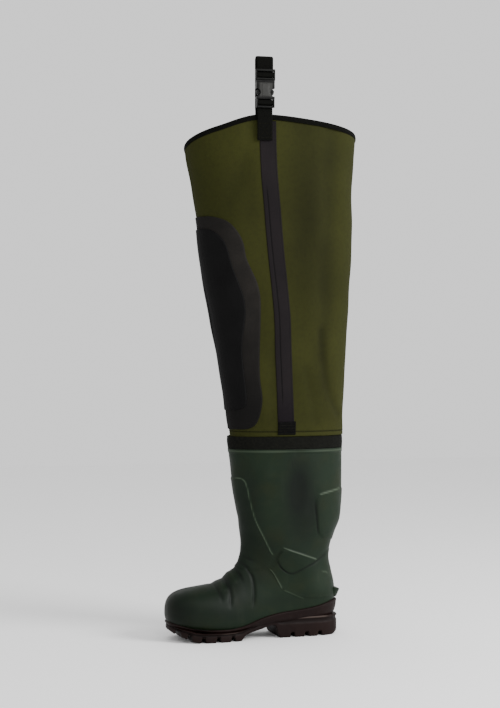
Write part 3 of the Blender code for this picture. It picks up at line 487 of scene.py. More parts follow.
boot_table = boot_rows()
rim_row = len(boot_table) - 2


def boot_surface(positions, turns):
    """Grid of points on the boot. positions: rows of the table. turns: angles, the same or a row for each."""
    values = smooth_rows(boot_table, positions)[:, :, None]
    low_x, low_z, top_x, top_z, outer, inner, wide, low_square, top_square = (values[:, i] for i in range(9))
    turns = np.broadcast_to(turns, (len(values), np.shape(turns)[-1]))
    c = np.cos(turns)
    s = np.sin(turns)
    square = np.where(c > 0, low_square, top_square)
    reach = np.abs(c) ** (2 / square)
    share = np.where(c > 0, wide * (1 - reach), wide + (1 - wide) * reach)
    y = -np.sign(s) * np.where(s > 0, outer, inner) * np.abs(s) ** (2 / square)
    return np.stack([low_x + (top_x - low_x) * share, y, low_z + (top_z - low_z) * share], axis=-1)


def lifted(grid, height, closed=True):
    """The grid moved outwards by a height. closed: its second index goes all the way round."""
    across = np.roll(grid, -1, axis=1) - np.roll(grid, 1, axis=1) if closed else np.gradient(grid, axis=1)
    normal = np.cross(np.gradient(grid, axis=0), across)
    normal /= np.linalg.norm(normal, axis=-1, keepdims=True) + 1e-12
    return grid + normal * np.broadcast_to(height, grid.shape[:2])[..., None]


def oval_surface(z, turns, offset, middle, a, b, square):
    """Points of an upright oval tube of these half sizes. Turns go from the front round by the outer side."""
    c = np.cos(turns)
    s = np.sin(turns)
    power = 2 / square
    nx = np.sign(c) * np.abs(c) ** (2 - power) / a
    ny = np.sign(s) * np.abs(s) ** (2 - power) / b
    size = np.hypot(nx, ny)
    x = middle - a * np.sign(c) * np.abs(c) ** power - offset * nx / size
    y = -b * np.sign(s) * np.abs(s) ** power - offset * ny / size
    return np.stack([x, y, np.broadcast_to(z, x.shape)], axis=-1)


def leg_oval(z):
    """Middle, half depth and half width of the leg at these heights."""
    middle, depth, width = (column(leg_sections, i, leg_share(z)) for i in (1, 2, 3))
    return along_foot(middle), depth * leg_depth / 2, width * leg_width / 2


def leg_surface(z, turns, offset=0.0):
    return oval_surface(z, turns, offset, *leg_oval(z), leg_square)


def rim_surface(z, turns, offset):
    """Points on the boot's shaft near its rim, with the leg's turns."""
    rows = boot_table[-5:]
    back, front, width = (np.interp(z, rows[:, 1], rows[:, i]) for i in (0, 2, 4))
    return oval_surface(z, turns, offset, (back + front) / 2, (back - front) / 2, width, shaft_square)


def collar_level(turns):
    """Height of the leg's upper edge at these turns."""
    rows = [(collar_edge[-1][0] - 360, collar_edge[-1][1])] + collar_edge
    rows += [(360 + degrees, share) for degrees, share in collar_edge[:2]]
    return collar_height * column(rows, 1, np.degrees(turns) % 360)


# Meshes


def add_object(name, data):
    item = bpy.data.objects.new(name, data)
    bpy.context.scene.collection.objects.link(item)
    return item


def add_mesh(name, points, faces):
    mesh = bpy.data.meshes.new(name)
    mesh.from_pydata(points, [], faces)
    return add_object(name, mesh)


def smooth(piece):
    piece.data.polygons.foreach_set("use_smooth", [True] * len(piece.data.polygons))
    return piece


def outwards(piece):
    """Turns the faces outwards and makes them smooth."""
    work = bmesh.new()
    work.from_mesh(piece.data)
    bmesh.ops.recalc_face_normals(work, faces=work.faces)
    if work.calc_volume(signed=True) < 0:
        bmesh.ops.reverse_faces(work, faces=work.faces)
    work.to_mesh(piece.data)
    work.free()
    return smooth(piece)


def mesh_object(name, points, faces):
    return outwards(add_mesh(name, np.asarray(points).tolist(), faces))


def grid_faces(rows, around, closed=True, start=0):
    a = (np.arange(rows - 1)[:, None] * around + np.arange(around if closed else around - 1)[None, :]).ravel()
    k = a % around
    b = a - k + (k + 1) % around
    return (np.stack([a, b, b + around, a + around], axis=1) + start).tolist()


def tube(name, grid, loop=False):
    """Mesh of rings. loop joins the last ring to the first, and otherwise both ends are closed."""
    rows, around = grid.shape[:2]
    points = grid.reshape(-1, 3)
    faces = grid_faces(rows, around)
    last = (rows - 1) * around
    if loop:
        faces += [(last + k, last + (k + 1) % around, (k + 1) % around, k) for k in range(around)]
        return mesh_object(name, points, faces)
    for first in (0, last):
        points = np.vstack([points, points[first:first + around].mean(axis=0)])
        faces += [(first + k, first + (k + 1) % around, len(points) - 1) for k in range(around)]
    return mesh_object(name, points, faces)


def slab(name, top, bottom):
    """Closed mesh between two grids of the same size."""
    rows, around = top.shape[:2]
    count = rows * around
    faces = grid_faces(rows, around, closed=False) + grid_faces(rows, around, closed=False, start=count)
    rim = list(range(around))
    rim += [i * around + around - 1 for i in range(1, rows)]
    rim += [(rows - 1) * around + k for k in range(around - 2, -1, -1)]
    rim += [i * around for i in range(rows - 2, 0, -1)]
    faces += [(a, b, count + b, count + a) for a, b in zip(rim, rim[1:] + rim[:1])]
    return mesh_object(name, np.vstack([top.reshape(-1, 3), bottom.reshape(-1, 3)]), faces)


def tint(piece, shade_and_highlight):
    """Stores a value of painted light for the first points, which the material reads: positive for painted
    shade, negative for painted highlight.
    """
    values = np.zeros(len(piece.data.vertices))
    values[:shade_and_highlight.size] = shade_and_highlight.ravel()
    piece.data.attributes.new("shade_and_highlight", "FLOAT", "POINT").data.foreach_set("value", values)


def keep_modifiers(piece):
    """The piece's mesh becomes what its modifiers make of it."""
    bpy.context.view_layer.update()
    graph = bpy.context.evaluated_depsgraph_get()
    mesh = bpy.data.meshes.new_from_object(piece.evaluated_get(graph))
    piece.modifiers.clear()
    piece.data = mesh


def cut_away(target, other):
    modifier = target.modifiers.new("Cut", "BOOLEAN")
    modifier.operation = "DIFFERENCE"
    modifier.solver = "EXACT"
    modifier.object = other
    keep_modifiers(target)
    bpy.data.objects.remove(other)


def bevelled(piece, width, segments):
    modifier = piece.modifiers.new("Bevel", "BEVEL")
    modifier.width = width
    modifier.segments = segments
    modifier.limit_method = "ANGLE"
    modifier.angle_limit = math.radians(35)
    keep_modifiers(piece)
    return smooth(piece)


# Materials


def srgb(red, green, blue):
    """Linear colour from 0 to 255 values."""
    return tuple(((c / 255 + 0.055) / 1.055) ** 2.4 for c in (red, green, blue))


class Paint:
    """A Principled material with textures in the object's own metres. depth scales all of its colours."""

    def __init__(self, name, roughness, depth=1.0, gloss=0.25, colour=(238, 238, 238)):
        self.material = bpy.data.materials.new(name)
        self.material.use_nodes = True
        self.nodes = self.material.node_tree.nodes
        self.links = self.material.node_tree.links
        self.shader = self.nodes["Principled BSDF"]
        self.shader.inputs["Roughness"].default_value = roughness
        self.shader.inputs["Specular IOR Level"].default_value = gloss
        self.depth = depth
        self.base = self.scaled(colour)
        self.place = self.nodes.new("ShaderNodeTexCoord").outputs["Object"]
        self.last_bump = None

    def scaled(self, colour):
        return (*(part * self.depth for part in srgb(*colour)), 1.0)

    def node(self, kind, output, inputs, **settings):
        """Output of a new node. inputs: a value or another node's output for each socket."""
        node = self.nodes.new("ShaderNode" + kind)
        for name, value in settings.items():
            setattr(node, name, value)
        for socket, value in inputs.items():
            if isinstance(value, bpy.types.NodeSocket):
                self.links.new(value, node.inputs[socket])
            else:
                node.inputs[socket].default_value = value
        return node.outputs[output]

    def stretched(self, scale):
        return self.node("Mapping", "Vector", {"Scale": scale, "Vector": self.place}) if scale else self.place

    def axis(self, name):
        """Place along one axis, in metres."""
        return self.node("SeparateXYZ", name, {"Vector": self.place})

    def noise(self, scale, detail=3.0, stretch=None):
        inputs = {"Scale": scale, "Detail": detail, "Vector": self.stretched(stretch)}
        return self.node("TexNoise", "Fac", inputs)

    def cells(self, scale, stretch=None):
        return self.node("TexVoronoi", "Distance", {"Scale": scale, "Vector": self.stretched(stretch)})

    def waves(self, scale, direction, distortion=0.0):
        inputs = {"Scale": scale, "Distortion": distortion, "Vector": self.place}
        return self.node("TexWave", "Fac", inputs, bands_direction=direction)

    def times(self, first, second):
        return self.node("Math", "Value", {0: first, 1: second}, operation="MULTIPLY")

    def ramp(self, factor, low, high, first=0.0, second=1.0):
        """Value from first to second as the factor goes from low to high."""
        inputs = {"Value": factor, "From Min": low, "From Max": high, "To Min": first, "To Max": second}
        return self.node("MapRange", "Result", inputs)

    def over(self, factor, colour):
        """Lays a colour over the base, as much as the factor says."""
        inputs = {"Factor": factor, 6: self.base, 7: self.scaled(colour)}
        self.base = self.node("Mix", 2, inputs, data_type="RGBA")
        self.links.new(self.base, self.shader.inputs["Base Color"])

    def mottle(self, scale, detail, low, high, colour, amount=1.0, stretch=None):
        self.over(self.ramp(self.noise(scale, detail, stretch), low, high, 0.0, amount), colour)

    def painted_light(self, colour, amount=0.85, full=1.0):
        """Lays a colour of painted light where the stored value nears full: 1 for painted shade in creases,
        hollows and shaded spots, -1 for painted highlights on raised lines and edges.
        """
        shade_and_highlight = self.node("Attribute", "Fac", {}, attribute_name="shade_and_highlight")
        self.over(self.ramp(shade_and_highlight, 0.0, full, 0.0, amount), colour)

    def rough(self, scale, low, high):
        self.links.new(self.ramp(self.noise(scale, 4), 0.3, 0.7, low, high), self.shader.inputs["Roughness"])

    def bump(self, height, depth, strength):
        """Adds a layer of relief, depth in metres."""
        inputs = {"Strength": strength, "Distance": depth, "Height": height}
        if self.last_bump:
            inputs["Normal"] = self.last_bump
        self.last_bump = self.node("Bump", "Normal", inputs)
        self.links.new(self.last_bump, self.shader.inputs["Normal"])


def boot_rubber():
    paint = Paint("boot_rubber", 0.50, 0.19, 0.12, (36, 62, 38))
    paint.mottle(9, 4, 0.35, 0.65, (46, 71, 45))
    paint.mottle(60, 5, 0.45, 0.75, (68, 82, 54), 0.30)
    paint.mottle(22, 3, 0.50, 0.72, (70, 76, 34), 0.35)
    paint.mottle(30, 6, 0.62, 0.72, (104, 112, 92), 0.25, (1.0, 1.0, 0.25))
    # Painted shade in the boot's creases, hollows and shaded spots, then painted highlight on its raised
    # lines and rim band.
    paint.painted_light((9, 24, 14))
    paint.painted_light((150, 170, 142), 0.80, -1.0)
    paint.rough(45, 0.46, 0.60)
    paint.bump(paint.noise(1400, 2), 0.00012, 0.5)
    paint.bump(paint.noise(90, 4), 0.0006, 0.25)
    return paint.material


def sole_rubber():
    paint = Paint("sole_rubber", 0.62, 0.13, 0.10, (56, 32, 28))
    paint.mottle(14, 4, 0.35, 0.65, (68, 40, 34))
    paint.mottle(110, 5, 0.52, 0.75, (80, 62, 55), 0.35)
    # Painted shade in the sole's recessed band and tread cuts, then painted highlight along its ledge.
    paint.painted_light((22, 16, 14))
    paint.painted_light((168, 146, 134), 0.80, -1.0)
    paint.rough(70, 0.48, 0.68)
    paint.bump(paint.noise(900, 3), 0.00016, 0.6)
    return paint.material


def neoprene():
    paint = Paint("neoprene", 0.88, 0.25, 0.09, (74, 77, 31))
    paint.mottle(7, 4, 0.35, 0.65, (84, 87, 37))
    paint.mottle(160, 4, 0.45, 0.70, (60, 60, 28), 0.25)
    # Painted shade in the leg's troughs, along its stitch line and in its shaded spots.
    paint.painted_light((36, 36, 16), 0.8)
    paint.bump(paint.cells(900, (1.0, 1.0, 0.7)), 0.00022, 0.7)
    paint.bump(paint.noise(120, 4), 0.0005, 0.25)
    return paint.material


def lining():
    paint = Paint("lining", 0.92, 0.5, 0.15, (34, 35, 34))
    paint.mottle(220, 3, 0.40, 0.65, (50, 51, 49))
    paint.bump(paint.cells(1100, (1.0, 1.0, 0.6)), 0.0002, 0.7)
    return paint.material


def pad_cloth():
    paint = Paint("pad_cloth", 0.82, 0.17, 0.10, (64, 60, 56))
    paint.mottle(30, 5, 0.35, 0.68, (78, 73, 68))
    paint.mottle(400, 3, 0.45, 0.70, (52, 49, 46), 0.4)
    # Painted shade: the pad darkens towards its bottom and towards its front.
    paint.over(paint.ramp(paint.axis("Z"), 0.56, 0.38, 0.0, 0.75), (24, 23, 24))
    paint.over(paint.ramp(paint.axis("X"), -0.150, -0.210, 0.0, 0.6), (24, 23, 24))
    paint.bump(paint.cells(1300), 0.0002, 0.8)
    return paint.material


def pad_grip():
    paint = Paint("pad_grip", 0.66, 0.13, 0.08, (28, 27, 28))
    paint.mottle(24, 4, 0.35, 0.68, (38, 37, 38))
    paint.bump(paint.times(paint.waves(210, "Z"), paint.waves(190, "X")), 0.0004, 0.6)
    return paint.material


def tape_cloth():
    paint = Paint("tape_cloth", 0.80, 0.14, 0.10, (56, 48, 52))
    paint.mottle(12, 4, 0.35, 0.65, (68, 59, 62))
    paint.over(paint.ramp(paint.axis("Z"), leg_height(0.16), leg_height(0.03), 0.0, 0.85), (36, 22, 38))
    # Painted shade along the tape's fold line.
    paint.painted_light((8, 7, 8))
    paint.bump(paint.waves(420, "Z", 0.4), 0.00025, 0.6)
    paint.bump(paint.noise(700, 3), 0.0002, 0.5)
    return paint.material


def black_cloth(name, colour, lighter, rib_scale):
    paint = Paint(name, 0.84, 0.13, 0.07, colour)
    paint.mottle(300, 3, 0.4, 0.7, lighter)
    # Painted shade where the piece stores it, as in the end patch's stitch rows.
    paint.painted_light((8, 8, 7), 0.8)
    paint.bump(paint.waves(rib_scale, "Z", 0.2), 0.0003, 0.7)
    paint.bump(paint.noise(900, 3), 0.0002, 0.5)
    return paint.material


def webbing_cloth():
    paint = Paint("webbing_cloth", 0.78, 0.09, 0.07, (27, 28, 19))
    paint.mottle(500, 3, 0.4, 0.7, (38, 39, 28))
    paint.bump(paint.times(paint.waves(330, "Z"), paint.waves(330, "X")), 0.0005, 0.7)
    return paint.material


def buckle_plastic(name, colour, roughness, bright=None):
    """Glossy plastic. bright: heights between which the middle of its face is paler."""
    paint = Paint(name, roughness, 0.26, 0.12, colour)
    paint.mottle(140, 4, 0.4, 0.7, (60, 60, 58), 0.3)
    if bright:
        low, high = bright
        side = webbing_width / 2
        height = paint.axis("Z")
        band = paint.times(paint.ramp(height, low, low + 0.004), paint.ramp(height, high, high - 0.003))
        left, right = (paint.ramp(paint.axis("X"), strap_x + way * side, strap_x + 0.7 * way * side)
                       for way in (-1, 1))
        paint.over(paint.times(band, paint.times(left, right)), (94, 94, 91))
    paint.rough(260, roughness - 0.06, roughness + 0.10)
    paint.bump(paint.noise(1800, 2), 0.00006, 0.4)
    return paint.material


def dress(piece, material, *nodes, slot=None):
    """Gives the piece its material, lets it ride and puts it in the place of these nodes of the frame."""
    piece.data.materials.clear()
    piece.data.materials.append(material)
    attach(piece, "root")
    if nodes:
        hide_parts(*nodes)
    slot or (nodes[0] if nodes else None)
    return piece


# Boot


def boot_relief(grid):
    """Relief of the boot, and its value of painted light: positive for painted shade in creases, hollows and
    shaded spots, negative for painted highlights on raised lines and the rim band.
    """
    x = grid[..., 0]
    z = grid[..., 2]
    height = np.zeros(x.shape)
    for outline, step, soft in boot_panels:
        distance = inside_distance(x, z, rounded(on_boot(outline), closed=True))
        height = np.maximum(height, step * smooth_step((distance + soft / 2) / soft))
    shade_and_highlight = np.zeros(x.shape)
    for points, rise, width in boot_lines:
        fade = ridge_fade if rise > 0 else crease_fade
        distance, ends = line_distance(x, z, rounded(on_boot(points)), fade=fade)
        line = ends * bell(distance, width)
        height += rise * line
        # Painted shade along the creases, painted highlight along the raised lines.
        shade_and_highlight -= np.sign(rise) * min(1.0, abs(rise) / 0.0011) * 0.0012 / max(width, 0.0012) * line
    for rise, spot in spots(x, z, boot_hollows, on_boot):
        height += rise * spot
        # Painted shade in the hollows.
        shade_and_highlight += 0.40 * max(0, -rise / 0.0022) * spot
    # Painted shade spots, and painted light where the amount is negative.
    for amount, spot in spots(x, z, boot_painted_shade, on_boot):
        shade_and_highlight += amount * spot
    height += rim_step * smooth_step((z - (rim_height - 0.0075)) / 0.0012)
    # Painted highlight along the raised rim band.
    shade_and_highlight -= 0.5 * bell(z - (rim_height - 0.0035), 0.0016)
    return height, shade_and_highlight


def make_boot():
    turns = full_turn(220)
    turns = turns + 0.15 * np.sin(2 * turns)
    outside = boot_surface(np.linspace(0.0, rim_row, 345), turns)
    height, shade_and_highlight = boot_relief(outside)
    fade = smooth_step((np.arange(len(outside)) / len(outside) - 0.01) / 0.02)[:, None]
    outside = lifted(outside, height * fade)
    inside = boot_surface(np.linspace(rim_row, 0.9, 60), turns)
    inside = lifted(inside[::-1], -boot_wall)[::-1]
    boot = tube("boot", np.concatenate([outside, inside]))
    tint(boot, shade_and_highlight)
    return dress(boot, boot_rubber(), "boot_upper")


def make_spur(material):
    """Ledge round the back of the heel that thins out towards its ends."""
    count = 81
    turns = np.linspace(-spur_half_turn, spur_half_turn, count)
    base = boot_surface(np.linspace(*spur_rows, 48), turns)
    profile = column(spur_profile, 1, base[:, count // 2, 2] / sole_back_height)
    taper = (1 - (turns / spur_half_turn) ** 4) ** 0.5
    outside = lifted(base, profile[:, None] * taper[None, :] - 0.0002, closed=False)
    return dress(slab("heel_spur", outside, lifted(base, -0.0010, closed=False)), material, slot="boot_upper")


# Sole


def side_height(number, shares):
    return column(sole_side, number, shares) * sole_back_height


def plan_sides(shares):
    """Places of the sole's outer and inner edge across the foot."""
    return -column(sole_plan, 1, shares) * ball_width, column(sole_plan, 2, shares) * ball_width


def sole_ring(offset, count):
    """Plan points of the sole's edge from the heel by the outer side to the toe and back, moved outwards."""
    half = count // 2
    length = sole_plan[-1][0]
    even = np.linspace(0, 1, half + 1)
    shares = length * (0.45 * (1 - np.cos(np.pi * even)) / 2 + 0.55 * even)
    outer, inner = (np.stack([along_foot(shares), side], 1) for side in plan_sides(shares))
    ring = np.concatenate([outer, inner[1:-1][::-1]])
    step = np.roll(ring, -1, axis=0) - np.roll(ring, 1, axis=0)
    step /= np.linalg.norm(step, axis=1, keepdims=True)
    moved = ring + offset * np.stack([-step[:, 1], step[:, 0]], 1)
    return moved, np.concatenate([shares, shares[1:-1][::-1]])


def groove_height(x, y):
    """How far the tread is cut away from the ground."""
    height = np.zeros(np.shape(x))
    outer, inner = plan_sides(foot_share(x))
    flare = smooth_step((np.abs(y) - np.where(y < 0, -outer, inner) + groove_flare) / groove_flare)
    for share in groove_shares:
        reach = (groove_half_width + 0.0013 * flare - np.abs(x - along_foot(share))) / 0.0020
        height = np.maximum(height, (lug_depth + 0.0018 * flare) * smooth_step(reach))
    near, far = (along_foot(share) for share in channel_shares)
    channel = smooth_step((channel_half_width - np.abs(y)) / 0.001)
    channel *= smooth_step((near - x) / 0.001) * smooth_step((x - far) / 0.001)
    return np.maximum(height, 0.8 * lug_depth * channel)


def make_sole(material):
    count = 520
    half = count // 2
    across = 36
    rings = []
    shade_and_highlight = []
    for up, offset in sole_levels:
        plan, shares = sole_ring(offset, count)
        low = side_height(1, shares) + (groove_height(plan[:, 0], plan[:, 1]) if up < 0.5 else 0.0)
        z = low + up * (side_height(2, shares) - low)
        rings.append(np.stack([plan[:, 0], plan[:, 1], z], 1))
        # Painted highlight just under the ledge, at the heel and the forefoot, and painted shade in the
        # recessed band below it.
        ledge_highlight = smooth_step((0.34 - shares) / 0.04) * smooth_step((shares - 0.07) / 0.04)
        ledge_highlight = ledge_highlight + 0.6 * smooth_step((0.055 - np.abs(shares - 0.665)) / 0.03)
        shade_and_highlight.append((0.45 if 0.7 < up < 0.88 else 0.0) - ledge_highlight * (0.92 < up < 0.99))
    grid = np.stack(rings)
    outer = grid[0][1:half]
    inner = grid[0][half + 1:][::-1]
    weights = np.linspace(0, 1, across + 1)[1:-1]
    bottom = outer[:, None] * (1 - weights)[None, :, None] + inner[:, None] * weights[None, :, None]
    cut = groove_height(bottom[..., 0], bottom[..., 1])
    bottom[..., 2] = side_height(1, foot_share(bottom[..., 0])) + cut
    first = len(sole_levels) * count
    inside = first + np.arange(bottom[..., 0].size).reshape(half - 1, across - 1)
    lines = [[1 + i, *inside[i].tolist(), count - 1 - i] for i in range(half - 1)]
    faces = grid_faces(len(sole_levels), count)
    for row, after in zip(lines, lines[1:]):
        faces += [(row[k], row[k + 1], after[k + 1], after[k]) for k in range(across)]
    faces += [(0, *lines[0]), (half, *lines[-1])]
    sole = mesh_object("sole_block", np.vstack([grid.reshape(-1, 3), bottom.reshape(-1, 3)]), faces)
    # Painted shade in the tread's cuts on the bottom.
    tint(sole, np.concatenate([np.concatenate(shade_and_highlight), 0.8 * cut.ravel() / lug_depth]))
    return dress(sole, material, "outsole")


def below_edge(points):
    """How far points lie under the sole's upper edge."""
    return side_height(3, foot_share(points[..., 0])) - points[..., 2]


def cup_turn(positions, side):
    """Turns at which the boot's sections meet the sole's edge, on the outer (1) or the inner side (-1)."""
    low = np.zeros((len(positions), 1))
    high = np.full((len(positions), 1), math.pi * 0.75)
    for _ in range(24):
        middle = (low + high) / 2
        inside = below_edge(boot_surface(positions, side * middle)) > 0
        low, high = np.where(inside, middle, low), np.where(inside, high, middle)
    return low


def make_cup(material):
    """Wall of the sole that rises round the foot, with a rounded upper edge."""
    positions = np.linspace(1.0, 19.0, 260)
    positions = positions[below_edge(boot_surface(positions, np.zeros(1)))[:, 0] >= 0]
    shares = np.linspace(-1, 1, 97)
    bent = np.sign(shares) * (1 - (1 - np.abs(shares)) ** 1.5)
    turns = np.where(bent > 0, bent * cup_turn(positions, 1), bent * cup_turn(positions, -1))
    base = boot_surface(positions, turns)
    below = np.maximum(below_edge(base), 0)
    lip = 0.0005 * bell(below - 0.0028, 0.0016)
    outside = lifted(base, seam_gap + cup_wall * bulge(below, 0.0016) + lip, closed=False)
    inside = lifted(base, seam_gap / 3, closed=False)
    return dress(slab("sole_cup", outside, inside), material, slot="outsole")


def make_insole(material):
    shares = np.linspace(0.045, 0.945, 90)
    bed = column(sorted(foot_sections[:17]), 1, shares) * instep_height + boot_wall + 2 * seam_gap
    outer, inner = plan_sides(shares)
    outer, inner = outer + insole_margin, inner - insole_margin
    taper = np.sqrt(np.clip((shares - 0.040) / 0.06, 0, 1)) * np.sqrt(np.clip((0.950 - shares) / 0.06, 0, 1))
    weights = np.linspace(-1, 1, 31)[None, :]
    y = ((outer + inner) / 2)[:, None] + ((inner - outer) / 2 * taper)[:, None] * weights
    x = np.broadcast_to(along_foot(shares)[:, None], y.shape)
    dome = 0.0022 * np.abs(weights) ** 3 - 0.0008 * (np.abs(weights) > 0.97)
    top, low = (np.stack([x, y, bed[:, None] + rise], -1) for rise in (insole_thickness + dome, 0.0 * y))
    return dress(slab("footbed", top, low), material, "insole")


# Leg


def fold_height(x, z, folds):
    return sum(rise * bell(line_distance(x, z, rounded(on_leg(points), times=3)), width)
               for points, rise, width in folds)


def leg_relief(grid):
    """Drape of the soft leg, quiet at the hem and the collar."""
    x, y, z = grid[..., 0], grid[..., 1], grid[..., 2]
    outer = smooth_step(0.5 - y / (0.4 * leg_width))
    height = outer * fold_height(x, z, outer_folds) + (1 - outer) * fold_height(x, z, inner_folds)
    height += 0.0006 * np.sin(z * 61 + x * 37) * np.sin(z * 23 - x * 51 + 1.3)
    height += 0.0007 * np.sin(z * 29 + np.sign(y) + x * 19)
    return height * smooth_step((z - hem_height - 0.004) / 0.03)


def leg_levels(turns, count):
    """Heights of the leg's rings from hem to collar, level at the hem and slanted like the collar above."""
    low = hem_height + 0.0012
    return low + np.linspace(0.0, 1.0, count)[:, None] * (collar_level(turns)[None, :] - low)


def make_leg():
    around = 300
    turns = full_turn(around)
    z = leg_levels(turns, 225)
    plain = leg_surface(z, turns)
    relief = leg_relief(plain)
    stitch_line = bell(z - hem_height - hem_stitch, 0.0010)
    outside = leg_surface(z, turns, relief - 0.0007 * stitch_line)
    hem = [rim_surface(hem_height - low, turns, offset) for low, offset in ((0.0006, -0.003), (0.0, -0.0008))]
    inner_z = leg_levels(turns, 70)[::-1]
    inside = leg_surface(inner_z, turns, leg_relief(leg_surface(inner_z, turns)) - leg_wall)
    tuck = [rim_surface(level, turns, -boot_wall - leg_wall - 2 * seam_gap)
            for level in (hem_height, rim_height, rim_height - tuck_depth)]
    leg = tube("neoprene_leg", np.concatenate([np.stack(hem), outside, inside, np.stack(tuck)]), loop=True)
    # Painted shade in the drape's troughs and along the hem's stitch line, then painted shade spots on the
    # outer side, paler where the amount is negative.
    shade_and_highlight = np.clip(-relief / 0.004, 0, 1) * 0.5 + 0.7 * stitch_line
    for amount, spot in spots(plain[..., 0], z, leg_painted_shade, on_leg):
        shade_and_highlight += amount * spot * (plain[..., 1] < 0)
    tint(leg, np.concatenate([np.zeros((len(hem), around)), shade_and_highlight]))
    dress(leg, neoprene(), "leg")
    leg.data.materials.append(lining())
    first_inside = (len(hem) + len(z)) * around
    for face in leg.data.polygons:
        if min(face.vertices) >= first_inside:
            face.material_index = 1


def edge_turn(z, x, side):
    """Turn at which the leg has this x at this height, on the outer side (1) or the inner one (-1)."""
    middle, a, _ = leg_oval(z)
    c = np.clip((middle - x) / a, -1, 1)
    return side * np.arccos(np.sign(c) * np.abs(c) ** (leg_square / 2))


def spread(first, last, count):
    """Evenly spaced values from first to last, a row for each pair."""
    return first[:, None] + (last - first)[:, None] * np.linspace(0, 1, count)[None, :]


def strip_turns(z, middle, width, count):
    """Turns across a strip down the outer side."""
    return spread(edge_turn(z, middle - width / 2, 1), edge_turn(z, middle + width / 2, 1), count)


def edge_distance(grid):
    """Distance of each point to the nearest edge of its grid."""
    found = []
    for axis in (0, 1):
        lengths = np.linalg.norm(np.diff(grid, axis=axis), axis=2)
        run = np.insert(np.cumsum(lengths, axis=axis), 0, 0.0, axis=axis)
        found.append(np.minimum(run, run.take([-1], axis=axis) - run))
    return np.minimum(*found)


def leg_cover(name, z, turns, base, thickness, edge, shade_and_highlight=0.0):
    """Layer that follows the draped leg over rows of turns at heights z, thinned over its edge."""
    z = np.broadcast_to(z[:, None], turns.shape)
    shade_and_highlight = shade_and_highlight + np.zeros(turns.shape)
    plain = leg_surface(z, turns)
    under = leg_relief(plain) + base
    # The value of painted shade also sinks the top a little.
    top = leg_surface(z, turns, under + thickness * bulge(edge_distance(plain), edge) - 0.0006 * shade_and_highlight)
    layer = slab(name, top, leg_surface(z, turns, under - 0.0004))
    tint(layer, shade_and_highlight)
    return layer


def make_pad(name, edge, base, material, node):
    """Knee pad layer, round the front from the outer side to the inner one, inside a side-view outline."""
    reach, heights = np.array(rounded(on_leg(edge))).T
    order = np.argsort(heights, kind="stable")
    heights, reach = heights[order], reach[order]
    count = 170
    share = 0.25 * (1 - np.cos(np.linspace(0, math.pi, count))) + 0.5 * np.linspace(0, 1, count)
    z = heights[0] + 0.0002 + share * (heights[-1] - heights[0] - 0.0004)
    edge_x = np.interp(z, heights, reach)
    turns = spread(edge_turn(z, edge_x, -1), edge_turn(z, edge_x, 1), 141)
    return dress(leg_cover(name, z, turns, base, pad_thickness, pad_edge), material, node)


def make_tape():
    top = collar_height * 0.9965 - binding_drop + 0.001
    z = np.linspace(hem_height + 0.0040, top, 260)
    count = 41
    turns = strip_turns(z, along_foot(column(tape_centre, 1, leg_share(z))), tape_width, count)
    share = np.linspace(0, 1, len(z))[:, None]
    weights = np.linspace(0, 1, count)[None, :]
    fold_on = smooth_step((share - 0.08) / 0.05) * (1 - smooth_step((share - 0.76) / 0.05))
    # Painted shade along a fold line that fades in and out down the tape, and a darker line near its edge.
    shade_and_highlight = bell(weights - (0.34 - 0.10 * share), 0.035) * fold_on + 0.35 * bell(weights - 0.90, 0.03)
    layer = leg_cover("side_tape_cloth", z, turns, seam_gap, tape_thickness, tape_edge, shade_and_highlight)
    return dress(layer, tape_cloth(), "side_tape")


def make_patch(material):
    z = np.linspace(patch_low, patch_low + patch_height, 46)
    turns = strip_turns(z, along_foot(patch_along), patch_width, 47)
    rows = 0.5 + 0.5 * np.cos(2 * math.pi * (z - patch_low) / stitch_pitch)
    # Painted shade in the stitch rows, where the layer also dips a little.
    shade_and_highlight = 0.7 * rows[:, None] ** 4
    layer = leg_cover("end_patch", z, turns, tape_thickness + seam_gap, tape_thickness, tape_edge, shade_and_highlight)
    return dress(layer, material, "tape_end_patch")


def make_binding(material):
    """Elastic binding rolled over the leg's edge."""
    drop = binding_drop
    outer = [(0.0004, -drop), (0.0016, -drop), (0.0019, -0.4 * drop), (0.0010, 0.0012), (-0.0010, 0.0022)]
    inner = [(-leg_wall - offset, lift) for offset, lift in outer[::-1]]
    section = outer + inner + [(-leg_wall - 0.0004, 0.0004), (0.0004, 0.0004)]
    turns = full_turn(320)
    edge = collar_level(turns)
    pucker = 0.00018 * np.sin(turns * 150)
    rows = [leg_surface(edge + lift, turns, offset + pucker * (offset > 0))
            for offset, lift in rounded(section, closed=True)]
    return dress(tube("collar_roll", np.stack(rows), loop=True), material, "collar_binding")


def make_band(material):
    """Tape round the joint of leg and boot."""
    low = rim_height + seam_gap
    high = hem_height - seam_gap
    inner = -boot_wall - seam_gap
    swell = 0.0004 + 0.0007 * np.sin(np.linspace(0.25, math.pi - 0.25, 15))
    section = [(low, inner), (low, 0.0), *zip(np.linspace(low, high, 15), swell), (high, 0.0), (high, inner)]
    turns = full_turn(300)
    waves = 0.00025 * np.sin(turns * 7 + 0.6) + 0.0002 * np.sin(turns * 17)
    rows = [rim_surface(z, turns, offset + waves * (offset > 0)) for z, offset in section]
    return dress(tube("joint_tape", np.stack(rows), loop=True), material, "joint_band")


# Thread


